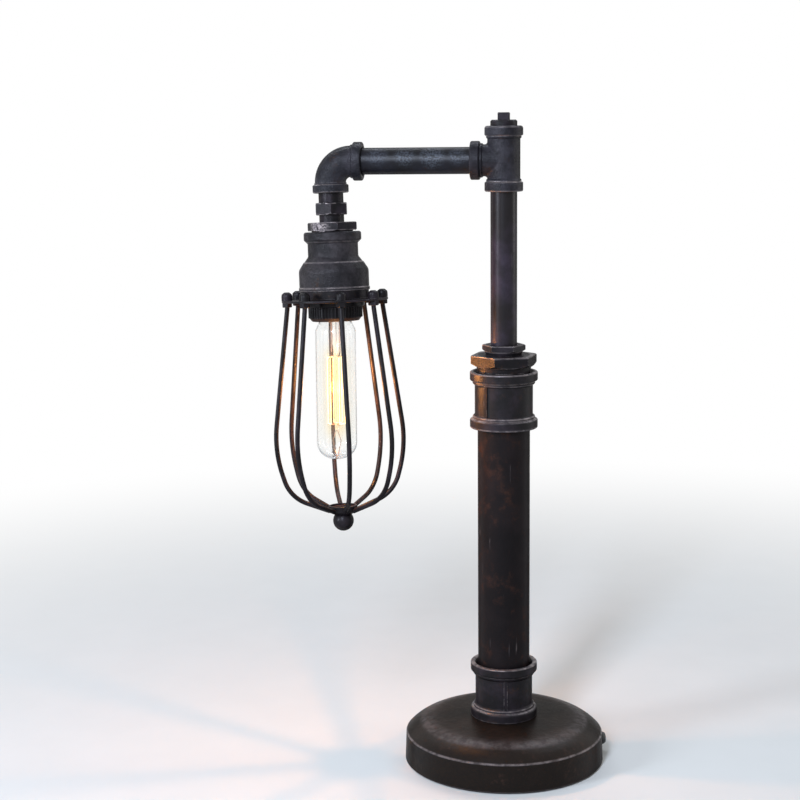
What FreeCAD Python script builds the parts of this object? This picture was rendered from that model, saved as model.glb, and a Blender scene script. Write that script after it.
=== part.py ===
"""Industrial pipe table lamp with a caged tubular bulb.

Millimetres, +Z up. The origin is on the table, on the axis of the upright pipe.
The arm runs towards -X, the cord leaves the base near +X, and -Y is the front.
Angles named "facing" are seen from above: 0 is the front, 90 is towards +X.
"""

import FreeCAD
import Part
import math
import os

V = FreeCAD.Vector

# Pipe and thread sizes
PIPE_THIN_R = 10.65
PIPE_THIN_BORE_R = 8.0
PIPE_THICK_R = 21.2
PIPE_THICK_BORE_R = 18.0
PIPE_MIDDLE_R = 16.7
THREAD_CLEARANCE = 0.05
SWIVEL_CLEARANCE = 0.06
THIN_THREAD_DEPTH = 13.5
THICK_THREAD_DEPTH = 18.0

# Base casting, from the table upwards
BASE_FOOT_R = 82.2
BASE_RIM_R = 81.3
BASE_RIM_Z = 24.4
BASE_CROWN_R = 55.0
BASE_CROWN_Z = 36.0
BASE_TOP_Z = 37.6
BASE_SHOULDER_R = 68.0
BASE_SHOULDER_Z = 33.2
BASE_BOTTOM_Z = 0.8
BASE_WALL = 8.0
BASE_ROOF = 9.0
RIM_ROUND = 0.6
PAD_THICKNESS = 2.5
COVER_THICKNESS = 1.5
COVER_GAP = 0.4
LEDGE_WIDTH = 3.0

# Cover screws and the earth screw
SCREW_COUNT = 3
SCREW_CIRCLE_R = 66.0
SCREW_BOSS_R = 5.2
SCREW_SHANK_R = 2.0
SCREW_HEAD_R = 3.7
SCREW_HEAD_H = 1.7
SCREW_LENGTH = 12.0
SCREW_FIRST_FACING = 60.0
SCREW_HOLE_GAP = 0.15
EARTH_SCREW_R = 44.0
EARTH_SCREW_FACING = 225.0
EARTH_SCREW_LENGTH = 10.0

# Nipple, washer and locknut that clamp the upright to the base
BASE_NIPPLE_TAIL = 11.0
BASE_WASHER_R = 29.0
BASE_WASHER_H = 2.0
BASE_LOCKNUT_AF = 52.0
BASE_LOCKNUT_H = 7.0

# Cord outlet in the side of the base
GLAND_FACING = 106.0
GLAND_Z = 11.0
GLAND_R = 5.4
GLAND_BORE_R = 3.6
GLAND_THREAD_R = 4.8
GLAND_PROUD = 4.4
GLAND_TAIL = 6.0
GLAND_NUT_AF = 12.5
GLAND_NUT_H = 3.0
GLAND_POCKET_R = 8.0
GLAND_POCKET_H = 8.0
GLAND_POCKET_BITE = 0.4

# Large banded sockets on the upright
SOCKET_LENGTH = 46.0
SOCKET_BODY_R = 23.5
SOCKET_BAND_R = 27.4
SOCKET_BAND_H = 8.0
SOCKET_STEP_R = 25.2
SOCKET_STEP_H = 1.6
SOCKET_MOUTH_R = 24.3
SOCKET_MOUTH_DEPTH = 3.2
SOCKET_RIB_W = 3.0
SOCKET_RIB_PROUD = 0.9
LOWER_RIB_FACING = 8.0
UPPER_RIB_FACING = -33.0

# Exposed pipe lengths
LOWER_RISER_SHOW = 196.6
UPPER_RISER_SHOW = 130.3
ARM_SHOW = 86.6

# Reducing bushing on top of the upright, and its backnut
BUSHING_AF = 47.5
BUSHING_HEX_H = 9.2
BUSHING_NECK_R = 21.9
BUSHING_NECK_H = 4.1
BUSHING_THREAD_H = 17.0
BUSHING_FACING = 19.0
BACKNUT_AF = 30.3
BACKNUT_COLLAR_R = 15.4
BACKNUT_COLLAR_H = 3.2
BACKNUT_HEX_H = 4.9
BACKNUT_GAP = 0.1

# Small banded tee and elbow
TEE_RISE = 27.0
TEE_DROP = 24.5
TEE_OUTLET = 26.4
TEE_BRANCH_WALL = 1.95
TEE_BRANCH_R = PIPE_THIN_R + TEE_BRANCH_WALL
TEE_BODY_PROUD = 0.5
TEE_BODY_R = TEE_BRANCH_R + TEE_BODY_PROUD
TEE_BAND_PROUD = 2.2
TEE_BAND_R = TEE_BODY_R + TEE_BAND_PROUD
TEE_TOP_ROUND = 2.2
TEE_SADDLE = 2.0
BAND_H = 8.0
BAND_STEP_H = 1.3
BAND_STEP_PROUD = 0.9
BAND_ROUND = 1.2
MOUTH_CHAMFER = 1.2
ELBOW_INLET_LEG = 9.64
ELBOW_OUTLET_LEG = 7.94
ELBOW_WALL = 1.85
ELBOW_BODY_R = PIPE_THIN_R + ELBOW_WALL
ELBOW_BEND_R = 16.6
ELBOW_INLET_BAND_PROUD = 2.9
ELBOW_INLET_BAND_R = ELBOW_BODY_R + ELBOW_INLET_BAND_PROUD
ELBOW_OUTLET_BAND_PROUD = 2.0
ELBOW_OUTLET_BAND_R = ELBOW_BODY_R + ELBOW_OUTLET_BAND_PROUD
ELBOW_OUTLET_BAND_H = 7.0

# Square-headed plug on top of the tee
PLUG_SHOW = 4.6
PLUG_CHAMFER = 1.1
PLUG_HEAD_SIDE = 9.2
PLUG_HEAD_H = 6.3

# How the head hangs: forward about the arm, and towards the upright
HEAD_FORWARD = 3.3
HEAD_INWARD = 1.9

# The elbow's legs, from its centre, follow its bend
ELBOW_BEND_START = ELBOW_BEND_R * math.tan(math.radians(90 + HEAD_INWARD) / 2)
ELBOW_INLET = ELBOW_BEND_START + ELBOW_INLET_LEG
ELBOW_OUTLET = ELBOW_BEND_START + ELBOW_OUTLET_LEG

# Pieces below the elbow, as lengths down the head's own axis
NIPPLE_UPPER_SHOW = 7.7
NIPPLE_HEX_AF = 24.6
NIPPLE_HEX_H = 9.8
NIPPLE_LOWER_SHOW = 5.8
NIPPLE_NECK_R = 10.0
NIPPLE_BORE_R = 4.1
NIPPLE_FACING = 38.0
HEAD_BUSHING_AF = 36.0
HEAD_BUSHING_HEX_H = 6.7
HEAD_BUSHING_GAP = 0.8
HEAD_BUSHING_THREAD_H = 13.0
HEAD_BUSHING_FACING = -8.0
REDUCER_LENGTH = 47.2
REDUCER_BAND_R = 23.2
REDUCER_BAND_H = 9.4
REDUCER_BAND_ROUND = 2.0
REDUCER_NECK_R = 20.3
REDUCER_NECK_H = 10.5
REDUCER_FLARE_H = 10.8
REDUCER_STEP_R = 23.7
REDUCER_STEP_DROP = 4.4
REDUCER_BELL_R = 28.2
REDUCER_LIP_H = 2.4
REDUCER_LIP_PROUD = 0.5
REDUCER_SMALL_BORE_H = 22.0
REDUCER_BELL_BORE_R = 23.6
REDUCER_BELL_BORE_H = 21.0

# Lampholder
HOLDER_TUBE_R = 5.0
HOLDER_TUBE_BORE_R = 3.5
HOLDER_TUBE_ENGAGE = 12.0
HOLDER_WASHER_R = 15.5
HOLDER_WASHER_H = 1.5
HOLDER_NUT_AF = 14.0
HOLDER_NUT_H = 3.5
HOLDER_COLLAR_R = 7.5
HOLDER_COLLAR_H = 4.0
HOLDER_GAP = 1.0
HOLDER_CAP_H = 9.0
HOLDER_R = 19.7
HOLDER_WALL = 2.1
HOLDER_SKIRT_H = 37.6
HOLDER_INSULATOR_H = 6.0
HOLDER_INSULATOR_DROP = 2.0
CONTACT_H = 2.0
CONTACT_R = 4.2
SHELL_BORE_R = 13.3
SHELL_WALL = 0.5
SHELL_H = 22.0
TERMINAL_SCREW_R = 1.6
TERMINAL_HEAD_R = 2.8
TERMINAL_HEAD_H = 1.6
TERMINAL_CIRCLE_R = 11.5

# Shade ring that clamps the cage to the lampholder
SHADE_FLANGE_R = 23.8
SHADE_FLANGE_H = 4.2
SHADE_BODY_R = 21.2
SHADE_H = 16.0
SHADE_MOUTH_R = 19.0
SHADE_TAPER_H = 2.8
SHADE_LIP_R = 15.6
SHADE_LIP_H = 1.4

# Cage
GALLERY_DRUM_R = 27.8
GALLERY_WALL = 2.0
GALLERY_DRUM_H = 6.8
GALLERY_PLATE_R = 43.0
GALLERY_PLATE_H = 1.8
WIRE_COUNT = 8
WIRE_FIRST_FACING = 17.0
WIRE_R = 1.9
WIRE_CIRCLE_R = 38.8
WIRE_BELLY_R = 54.1
WIRE_BELLY_DROP = 119.7
WIRE_HIP_R = 42.7
WIRE_HIP_DROP = 158.5
WIRE_END_DROP = 171.3
WIRE_THREAD_UP = 5.0
WIRE_THREAD_DOWN = 4.4
WIRE_TOP_BEND = 20.0
WIRE_BELLY_BEND = 100.0
WIRE_HIP_BEND = 30.0
ACORN_R = 4.4
ACORN_H = 6.6
ACORN_SKIRT_H = 3.2
LOWER_NUT_AF = 7.4
LOWER_NUT_H = 3.7
HUB_DROP = 167.0
HUB_R = 11.8
HUB_H = 7.0
HUB_SIDE_H = 4.6
HUB_FOOT_R = 8.0
HUB_RECESS_R = 10.2
HUB_RECESS_H = 1.3
WIRE_SWAY = (0.6, 0.0, 0.0, -2.4, 0.0, -1.0, 0.0, -2.4)
FINIAL_R = 8.5
FINIAL_DROP = 179.6
FINIAL_STUD_R = 1.5

# Bulb
BULB_R = 16.5
BULB_WALL = 0.9
BULB_NECK_R = 12.4
BULB_NECK_H = 7.0
BULB_SHOULDER_H = 9.0
BULB_SKEW = 1.4
BULB_SKEW_DEPTH = 8.0
BULB_LENGTH = 120.8
BULB_TIP_ROUND = 13.5
BULB_CAP_R = 13.1
BULB_CAP_H = 20.0
BULB_CAP_WALL = 0.35
BULB_CONE_H = 4.0
BULB_CONE_R = 5.0
BULB_BUTTON_R = 3.6
BULB_BUTTON_H = 1.4
STEM_FLARE_R = 11.4
STEM_R = 2.7
STEM_FLARE_H = 5.0
STEM_H = 44.0
ROD_R = 1.5
ROD_END_GAP = 24.0
SUPPORT_R = 0.3
SUPPORT_ARM = 7.0
LEAD_IN_R = 0.5
LEAD_IN_OFFSET = 3.4
LEAD_IN_START = 0.7
LEAD_IN_SPLAY_H = 4.0
GLASS_GAP = 0.03
FILAMENT_R = 0.45
FILAMENT_STRANDS = 6
FILAMENT_FIRST_FACING = 30.0
FILAMENT_TOP = 38.0
FILAMENT_BOTTOM = 92.0

# Supply lead inside the pipes
LEAD_R = 2.9
LEAD_BASE_BEND = 14.0
LEAD_TEE_BEND = 15.0
LEAD_SPLIT_GAP = 0.3

# Heights that follow from the sizes above
COVER_Z = PAD_THICKNESS
LEDGE_Z = COVER_Z + COVER_THICKNESS
ROOF_Z = BASE_TOP_Z - BASE_ROOF
UPPER_SOCKET_Z = BASE_TOP_Z + SOCKET_LENGTH + LOWER_RISER_SHOW
BUSHING_SEAT_Z = UPPER_SOCKET_Z + SOCKET_LENGTH
BUSHING_HEX_Z = BUSHING_SEAT_Z + BUSHING_NECK_H
BUSHING_TOP_Z = BUSHING_HEX_Z + BUSHING_HEX_H
TEE_BOTTOM_Z = BUSHING_TOP_Z + UPPER_RISER_SHOW
ARM_Z = TEE_BOTTOM_Z + TEE_DROP
TEE_TOP_Z = ARM_Z + TEE_RISE
ARM_REACH = TEE_OUTLET + ARM_SHOW + ELBOW_INLET

# Depths down the head's axis, measured from the elbow's centre
NIPPLE_HEX_D = ELBOW_OUTLET + NIPPLE_UPPER_SHOW
NIPPLE_HEX_END_D = NIPPLE_HEX_D + NIPPLE_HEX_H
HEAD_BUSHING_D = NIPPLE_HEX_END_D + NIPPLE_LOWER_SHOW
REDUCER_D = HEAD_BUSHING_D + HEAD_BUSHING_HEX_H + HEAD_BUSHING_GAP
REDUCER_END_D = REDUCER_D + REDUCER_LENGTH
HEAD_BUSHING_END_D = REDUCER_D + HEAD_BUSHING_THREAD_H
NIPPLE_END_D = HEAD_BUSHING_D + THIN_THREAD_DEPTH
HOLDER_NUT_D = HEAD_BUSHING_END_D + HOLDER_WASHER_H
HOLDER_COLLAR_D = HOLDER_NUT_D + HOLDER_NUT_H + HOLDER_GAP
HOLDER_CAP_D = HOLDER_COLLAR_D + HOLDER_COLLAR_H
HOLDER_SKIRT_D = HOLDER_CAP_D + HOLDER_CAP_H
INSULATOR_D = HOLDER_SKIRT_D - HOLDER_INSULATOR_DROP
SHELL_D = INSULATOR_D + HOLDER_INSULATOR_H
BUTTON_D = SHELL_D + CONTACT_H
CONE_D = BUTTON_D + BULB_BUTTON_H
CAP_D = CONE_D + BULB_CONE_H
GLASS_D = CAP_D + BULB_CAP_H
BULB_TIP_D = GLASS_D + BULB_LENGTH
GALLERY_D = REDUCER_END_D + GALLERY_DRUM_H
PLATE_END_D = GALLERY_D + GALLERY_PLATE_H


def rounded_edges(corners, closed):
    """Straight edges through corners (point, round), with tangent arcs at the rounds."""
    count = len(corners)
    arrive, leave, arcs = [], [], []
    for index, (here, radius) in enumerate(corners):
        at_end = not closed and index in (0, count - 1)
        if radius == 0 or at_end:
            arrive.append(here)
            leave.append(here)
            continue
        back = (corners[index - 1][0] - here).normalize()
        ahead = (corners[(index + 1) % count][0] - here).normalize()
        half = back.getAngle(ahead) / 2
        inward = (back + ahead).normalize()
        arrive.append(here + back * (radius / math.tan(half)))
        leave.append(here + ahead * (radius / math.tan(half)))
        middle = here + inward * (radius / math.sin(half) - radius)
        arcs.append((index, Part.Arc(arrive[-1], middle, leave[-1]).toShape()))
    arc_at = dict(arcs)
    edges = []
    for index in range(count):
        if index in arc_at:
            edges.append(arc_at[index])
        following = (index + 1) % count
        if not closed and following == 0:
            break
        if (leave[index] - arrive[following]).Length > 1e-6:
            edges.append(Part.LineSegment(leave[index], arrive[following]).toShape())
    return edges


def turned(outline):
    """A solid turned about Z from corners (radius, height) or (radius, height, round)."""
    corners = [(V(c[0], 0, c[1]), c[2] if len(c) > 2 else 0) for c in outline]
    face = Part.Face(Part.Wire(rounded_edges(corners, True)))
    return face.revolve(V(0, 0, 0), V(0, 0, 1), 360)


def rod_along(route, radius):
    """A round rod along route points (x, y, z) or (x, y, z, bend radius)."""
    corners = [(V(*p[:3]), p[3] if len(p) > 3 else 0) for p in route]
    path = Part.Wire(rounded_edges(corners, False))
    start, heading = corners[0][0], corners[1][0] - corners[0][0]
    section = Part.Wire(Part.makeCircle(radius, start, heading))
    rod = path.makePipeShell([section], True, False)
    drawn = rod.Volume / (math.pi * radius ** 2 * path.Length)
    if abs(drawn - 1) > 0.01:
        raise ValueError("a bent rod came out with the wrong volume")
    return rod


def tube(outer, inner, low, high):
    """A plain ring or sleeve between two heights."""
    return turned([(inner, low), (outer, low), (outer, high), (inner, high)])


def cylinder(radius, low, high):
    """A plain cylinder on the Z axis."""
    return Part.makeCylinder(radius, high - low, V(0, 0, low))


def facing_vector(facing, length=1.0):
    """The level direction seen at an angle from the front, towards +X."""
    angle = math.radians(facing)
    return V(math.sin(angle), -math.cos(angle), 0) * length


def hexagon(across_flats, low, high, facing, low_chamfer, high_chamfer):
    """A hexagon bar with one flat facing that way, its corners turned off at the ends."""
    corner_r = across_flats / math.sqrt(3)
    points = [facing_vector(facing + 30 + 60 * k, corner_r) + V(0, 0, low) for k in range(7)]
    bar = Part.Face(Part.makePolygon(points)).extrude(V(0, 0, high - low))
    slope = math.tan(math.radians(30))
    envelope = turned([
        (0, low),
        (corner_r - low_chamfer, low),
        (corner_r, low + low_chamfer * slope),
        (corner_r, high - high_chamfer * slope),
        (corner_r - high_chamfer, high),
        (0, high),
    ])
    return bar.common(envelope)


def banded_leg(body_r, band_r, band_h, length, end_round=BAND_ROUND):
    """The outside of a fitting's leg: a body with a rounded band at its far end."""
    step_r = body_r + BAND_STEP_PROUD
    shoulder = length - band_h
    return turned([
        (0, 0),
        (body_r, 0),
        (body_r, shoulder - BAND_STEP_H - BAND_STEP_PROUD),
        (step_r, shoulder - BAND_STEP_H),
        (step_r, shoulder),
        (band_r, shoulder + (band_r - step_r) / 2, BAND_ROUND),
        (band_r, length, end_round),
        (0, length),
    ])


def mouth(pipe_r, depth, length):
    """The threaded socket and its chamfer, cut into the end of a leg."""
    bore = pipe_r + THREAD_CLEARANCE
    return turned([
        (0, length - depth),
        (bore, length - depth),
        (bore, length - MOUTH_CHAMFER),
        (bore + MOUTH_CHAMFER, length),
        (bore + MOUTH_CHAMFER, length + 1),
        (0, length + 1),
    ])


def moved(shape, x=0.0, y=0.0, z=0.0):
    """A copy of a shape, moved."""
    copy = shape.copy()
    copy.translate(V(x, y, z))
    return copy


def turned_about(shape, axis, degrees):
    """A copy of a shape, turned about an axis through the origin."""
    copy = shape.copy()
    copy.rotate(V(0, 0, 0), axis, degrees)
    return copy


def spread(shape, count, first_facing, radius):
    """Copies of a shape at even steps round the Z axis."""
    copies = []
    for k in range(count):
        facing = first_facing + 360.0 * k / count
        place = facing_vector(facing, radius)
        copies.append(moved(shape, place.x, place.y))
    return copies


def down(shape):
    """Turn a piece drawn upwards so that its height becomes depth down the head."""
    return turned_about(shape, V(1, 0, 0), 180)


def in_head(shape, along_arm=False):
    """Place a piece drawn about the elbow's centre; the outlet side leans inward too."""
    leaning = shape if along_arm else turned_about(shape, V(0, 1, 0), -HEAD_INWARD)
    forward = turned_about(leaning, V(1, 0, 0), -HEAD_FORWARD)
    return moved(forward, -ARM_REACH, 0, ARM_Z)


def head_turned(outline):
    """A turned piece in the head, from corners (radius, depth) or (radius, depth, round)."""
    return in_head(turned([(c[0], -c[1]) + tuple(c[2:]) for c in outline]))


def in_glass(shape):
    """Place a piece of the bulb's glass or its mount, which lean a little in the cap."""
    copy = shape.copy()
    copy.rotate(V(0, 0, BULB_SKEW_DEPTH - GLASS_D), V(0, 1, 0), BULB_SKEW)
    return in_head(copy)


def glass_turned(outline):
    """A turned piece of the bulb, from corners (radius, depth) or (radius, depth, round)."""
    return in_glass(turned([(c[0], -c[1]) + tuple(c[2:]) for c in outline]))


def head_hexagon(across_flats, near, far, facing, near_chamfer, far_chamfer):
    """A hexagon in the head between two depths, before it is placed."""
    return hexagon(across_flats, -far, -near, facing, far_chamfer, near_chamfer)


def base_casting():
    """The round cast base: a hollow dome with screw bosses and a ledge for its cover."""
    inner_r = BASE_RIM_R - BASE_WALL
    rebate_r = inner_r + LEDGE_WIDTH
    section = [
        Part.LineSegment(V(0, 0, BASE_TOP_Z), V(SOCKET_BAND_R, 0, BASE_TOP_Z)),
        Part.LineSegment(V(SOCKET_BAND_R, 0, BASE_TOP_Z), V(BASE_CROWN_R, 0, BASE_CROWN_Z)),
        Part.Arc(
            V(BASE_CROWN_R, 0, BASE_CROWN_Z),
            V(BASE_SHOULDER_R, 0, BASE_SHOULDER_Z),
            V(BASE_RIM_R - RIM_ROUND, 0, BASE_RIM_Z),
        ),
        Part.LineSegment(V(BASE_RIM_R - RIM_ROUND, 0, BASE_RIM_Z), V(BASE_RIM_R, 0, BASE_RIM_Z - RIM_ROUND)),
        Part.LineSegment(V(BASE_RIM_R, 0, BASE_RIM_Z - RIM_ROUND), V(BASE_FOOT_R, 0, BASE_BOTTOM_Z + RIM_ROUND)),
        Part.LineSegment(V(BASE_FOOT_R, 0, BASE_BOTTOM_Z + RIM_ROUND), V(BASE_FOOT_R - RIM_ROUND, 0, BASE_BOTTOM_Z)),
        Part.LineSegment(V(BASE_FOOT_R - RIM_ROUND, 0, BASE_BOTTOM_Z), V(0, 0, BASE_BOTTOM_Z)),
        Part.LineSegment(V(0, 0, BASE_BOTTOM_Z), V(0, 0, BASE_TOP_Z)),
    ]
    face = Part.Face(Part.Wire([line.toShape() for line in section]))
    solid = face.revolve(V(0, 0, 0), V(0, 0, 1), 360)
    roof_edge_z = BASE_SHOULDER_Z - BASE_ROOF
    hollow = turned([
        (0, BASE_BOTTOM_Z - 1),
        (rebate_r, BASE_BOTTOM_Z - 1),
        (rebate_r, LEDGE_Z),
        (inner_r, LEDGE_Z),
        (inner_r, BASE_RIM_Z - BASE_ROOF, 4.0),
        (BASE_SHOULDER_R, roof_edge_z, 4.0),
        (BASE_CROWN_R, ROOF_Z, 6.0),
        (0, ROOF_Z),
    ])
    casting = solid.cut(hollow)
    boss = cylinder(SCREW_BOSS_R, LEDGE_Z, BASE_SHOULDER_Z - BASE_ROOF / 2)
    casting = casting.fuse(spread(boss, SCREW_COUNT, SCREW_FIRST_FACING, SCREW_CIRCLE_R))
    tapped = cylinder(SCREW_SHANK_R + THREAD_CLEARANCE, LEDGE_Z - 1, LEDGE_Z + SCREW_LENGTH)
    earth = cylinder(SCREW_SHANK_R + THREAD_CLEARANCE, ROOF_Z - 1, ROOF_Z + BASE_ROOF * 0.7)
    cuts = spread(tapped, SCREW_COUNT, SCREW_FIRST_FACING, SCREW_CIRCLE_R)
    cuts += spread(earth, 1, EARTH_SCREW_FACING, EARTH_SCREW_R)
    cuts.append(cylinder(PIPE_THICK_R + THREAD_CLEARANCE, ROOF_Z - 1, BASE_TOP_Z + 1))
    outward = facing_vector(GLAND_FACING)
    cuts.append(Part.makeCylinder(
        GLAND_THREAD_R + THREAD_CLEARANCE,
        BASE_FOOT_R,
        V(0, 0, GLAND_Z) + outward * (inner_r - LEDGE_WIDTH),
        outward,
    ))
    cuts.append(Part.makeCylinder(
        GLAND_POCKET_R,
        GLAND_POCKET_H,
        V(0, 0, GLAND_Z) + outward * (inner_r + GLAND_POCKET_BITE - GLAND_POCKET_H),
        outward,
    ))
    return casting.cut(cuts)


def bottom_cover():
    """The steel plate that closes the base."""
    radius = BASE_RIM_R - BASE_WALL + LEDGE_WIDTH - COVER_GAP
    plate = cylinder(radius, COVER_Z, LEDGE_Z)
    hole = cylinder(SCREW_SHANK_R + SCREW_HOLE_GAP, COVER_Z - 1, LEDGE_Z + 1)
    return plate.cut(spread(hole, SCREW_COUNT, SCREW_FIRST_FACING, SCREW_CIRCLE_R))


def felt_pad():
    """The felt disc under the cover, with a hole round each screw head."""
    radius = BASE_RIM_R - BASE_WALL + LEDGE_WIDTH - 2 * COVER_GAP
    pad = cylinder(radius, 0, PAD_THICKNESS)
    hole = cylinder(SCREW_HEAD_R + 1.0, -1, PAD_THICKNESS + 1)
    return pad.cut(spread(hole, SCREW_COUNT, SCREW_FIRST_FACING, SCREW_CIRCLE_R))


def pan_screw(head_r, head_h, shank_r, length):
    """A pan-head screw pointing up, the underside of its head at height 0."""
    return turned([
        (0, -head_h),
        (head_r, -head_h, head_h * 0.4),
        (head_r, 0),
        (shank_r, 0),
        (shank_r, length - 0.8),
        (shank_r - 0.8, length),
        (0, length),
    ])


def cover_screws():
    """The screws that hold the bottom cover."""
    screw = pan_screw(SCREW_HEAD_R, SCREW_HEAD_H, SCREW_SHANK_R, SCREW_LENGTH)
    screws = spread(moved(screw, z=COVER_Z), SCREW_COUNT, SCREW_FIRST_FACING, SCREW_CIRCLE_R)
    return Part.makeCompound(screws)


def earth_screw():
    """The earthing screw under the roof of the base, with room for its ring terminal."""
    screw = pan_screw(SCREW_HEAD_R, SCREW_HEAD_H, SCREW_SHANK_R, BASE_ROOF * 0.6)
    return spread(moved(screw, z=ROOF_Z), 1, EARTH_SCREW_FACING, EARTH_SCREW_R)[0]


def base_nipple():
    """The short threaded pipe that ties the lower socket to the base."""
    low = ROOF_Z - BASE_NIPPLE_TAIL
    return tube(PIPE_THICK_R, PIPE_THICK_BORE_R, low, BASE_TOP_Z + THICK_THREAD_DEPTH)


def base_washer():
    """The washer under the roof of the base."""
    return tube(BASE_WASHER_R, PIPE_THICK_R + SCREW_HOLE_GAP, ROOF_Z - BASE_WASHER_H, ROOF_Z)


def base_locknut():
    """The locknut that pulls the nipple down."""
    high = ROOF_Z - BASE_WASHER_H
    low = high - BASE_LOCKNUT_H
    nut = hexagon(BASE_LOCKNUT_AF, low, high, 0.0, 3.0, 3.0)
    return nut.cut(cylinder(PIPE_THICK_R + THREAD_CLEARANCE, low - 1, high + 1))


def gland_frame(shape):
    """Turn a piece drawn along +Z to lie along the cord outlet."""
    outward = facing_vector(GLAND_FACING)
    copy = shape.copy()
    copy.Placement = FreeCAD.Placement(
        V(0, 0, GLAND_Z), FreeCAD.Rotation(V(0, 0, 1), outward)
    ).multiply(copy.Placement)
    return copy


def cord_gland():
    """The flanged sleeve in the side of the base where the cord enters."""
    wall_out = BASE_FOOT_R + 0.1
    inner_end = BASE_RIM_R - BASE_WALL - GLAND_TAIL
    sleeve = turned([
        (GLAND_BORE_R, inner_end),
        (GLAND_THREAD_R, inner_end),
        (GLAND_THREAD_R, wall_out),
        (GLAND_R, wall_out),
        (GLAND_R, wall_out + GLAND_PROUD * 0.5, 0.6),
        (GLAND_R - 1.2, wall_out + GLAND_PROUD, 0.5),
        (GLAND_BORE_R, wall_out + GLAND_PROUD),
    ])
    return gland_frame(sleeve)


def gland_nut():
    """The nut on the inside of the cord outlet."""
    far = BASE_RIM_R - BASE_WALL + GLAND_POCKET_BITE
    near = far - GLAND_NUT_H
    nut = hexagon(GLAND_NUT_AF, near, far, 0.0, 0.5, 0.5)
    return gland_frame(nut.cut(cylinder(GLAND_THREAD_R + THREAD_CLEARANCE, near - 1, far + 1)))


def large_socket(bottom_z, rib_facing):
    """A banded straight coupling with a chamfered mouth at each end and two ribs."""
    band_slope = (SOCKET_BAND_R - SOCKET_STEP_R) / 2
    high = SOCKET_LENGTH
    outline = [
        (0, 0),
        (SOCKET_BAND_R, 0, BAND_ROUND),
        (SOCKET_BAND_R, SOCKET_BAND_H - band_slope, BAND_ROUND),
        (SOCKET_STEP_R, SOCKET_BAND_H),
        (SOCKET_STEP_R, SOCKET_BAND_H + SOCKET_STEP_H, 0.5),
        (SOCKET_BODY_R, SOCKET_BAND_H + 2 * SOCKET_STEP_H, 0.5),
        (SOCKET_BODY_R, high - SOCKET_BAND_H - 2 * SOCKET_STEP_H, 0.5),
        (SOCKET_STEP_R, high - SOCKET_BAND_H - SOCKET_STEP_H, 0.5),
        (SOCKET_STEP_R, high - SOCKET_BAND_H),
        (SOCKET_BAND_R, high - SOCKET_BAND_H + band_slope, BAND_ROUND),
        (SOCKET_BAND_R, high, BAND_ROUND),
        (0, high),
    ]
    body = turned(outline)
    rib = Part.makeBox(
        SOCKET_RIB_W,
        SOCKET_BODY_R + SOCKET_RIB_PROUD,
        high - 2 * SOCKET_BAND_H,
        V(-SOCKET_RIB_W / 2, -SOCKET_BODY_R - SOCKET_RIB_PROUD, SOCKET_BAND_H),
    )
    ribs = [turned_about(rib, V(0, 0, 1), rib_facing + side) for side in (0, 180)]
    bore_r = PIPE_THICK_R + THREAD_CLEARANCE
    bore = turned([
        (0, -1),
        (SOCKET_MOUTH_R, -1),
        (SOCKET_MOUTH_R, 0),
        (bore_r, SOCKET_MOUTH_DEPTH),
        (bore_r, high - SOCKET_MOUTH_DEPTH),
        (SOCKET_MOUTH_R, high),
        (SOCKET_MOUTH_R, high + 1),
        (0, high + 1),
    ])
    return moved(body.fuse(ribs).cut(bore), z=bottom_z)


def lower_riser():
    """The thick pipe between the two sockets."""
    low = BASE_TOP_Z + SOCKET_LENGTH - THICK_THREAD_DEPTH
    return tube(PIPE_THICK_R, PIPE_THICK_BORE_R, low, UPPER_SOCKET_Z + THICK_THREAD_DEPTH)


def reducing_bushing():
    """The hexagon bushing that carries the thin riser; its bore is the swivel."""
    low = BUSHING_SEAT_Z - BUSHING_THREAD_H
    thread = cylinder(PIPE_THICK_R, low, BUSHING_SEAT_Z)
    neck = cylinder(BUSHING_NECK_R, BUSHING_SEAT_Z, BUSHING_HEX_Z)
    head = hexagon(BUSHING_AF, BUSHING_HEX_Z, BUSHING_TOP_Z, BUSHING_FACING, 4.6, 1.0)
    bore = cylinder(PIPE_THIN_R + SWIVEL_CLEARANCE, low - 1, BUSHING_TOP_Z + 1)
    return thread.fuse([neck, head]).cut(bore)


def backnut():
    """The locknut on the thin riser, its round face on the bushing."""
    low = BUSHING_TOP_Z + BACKNUT_GAP
    middle = low + BACKNUT_COLLAR_H
    high = middle + BACKNUT_HEX_H
    collar = turned([
        (0, low), (BACKNUT_COLLAR_R - 1.0, low), (BACKNUT_COLLAR_R, middle), (0, middle),
    ])
    head = hexagon(BACKNUT_AF, middle, high, 0.0, 1.6, 1.0)
    bore = cylinder(PIPE_THIN_R + THREAD_CLEARANCE, low - 1, high + 1)
    return collar.fuse(head).cut(bore)


def upper_riser():
    """The thin pipe from the bushing up to the tee."""
    low = BUSHING_SEAT_Z - BUSHING_THREAD_H + 2.0
    return tube(PIPE_THIN_R, PIPE_THIN_BORE_R, low, TEE_BOTTOM_Z + THIN_THREAD_DEPTH)


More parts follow.
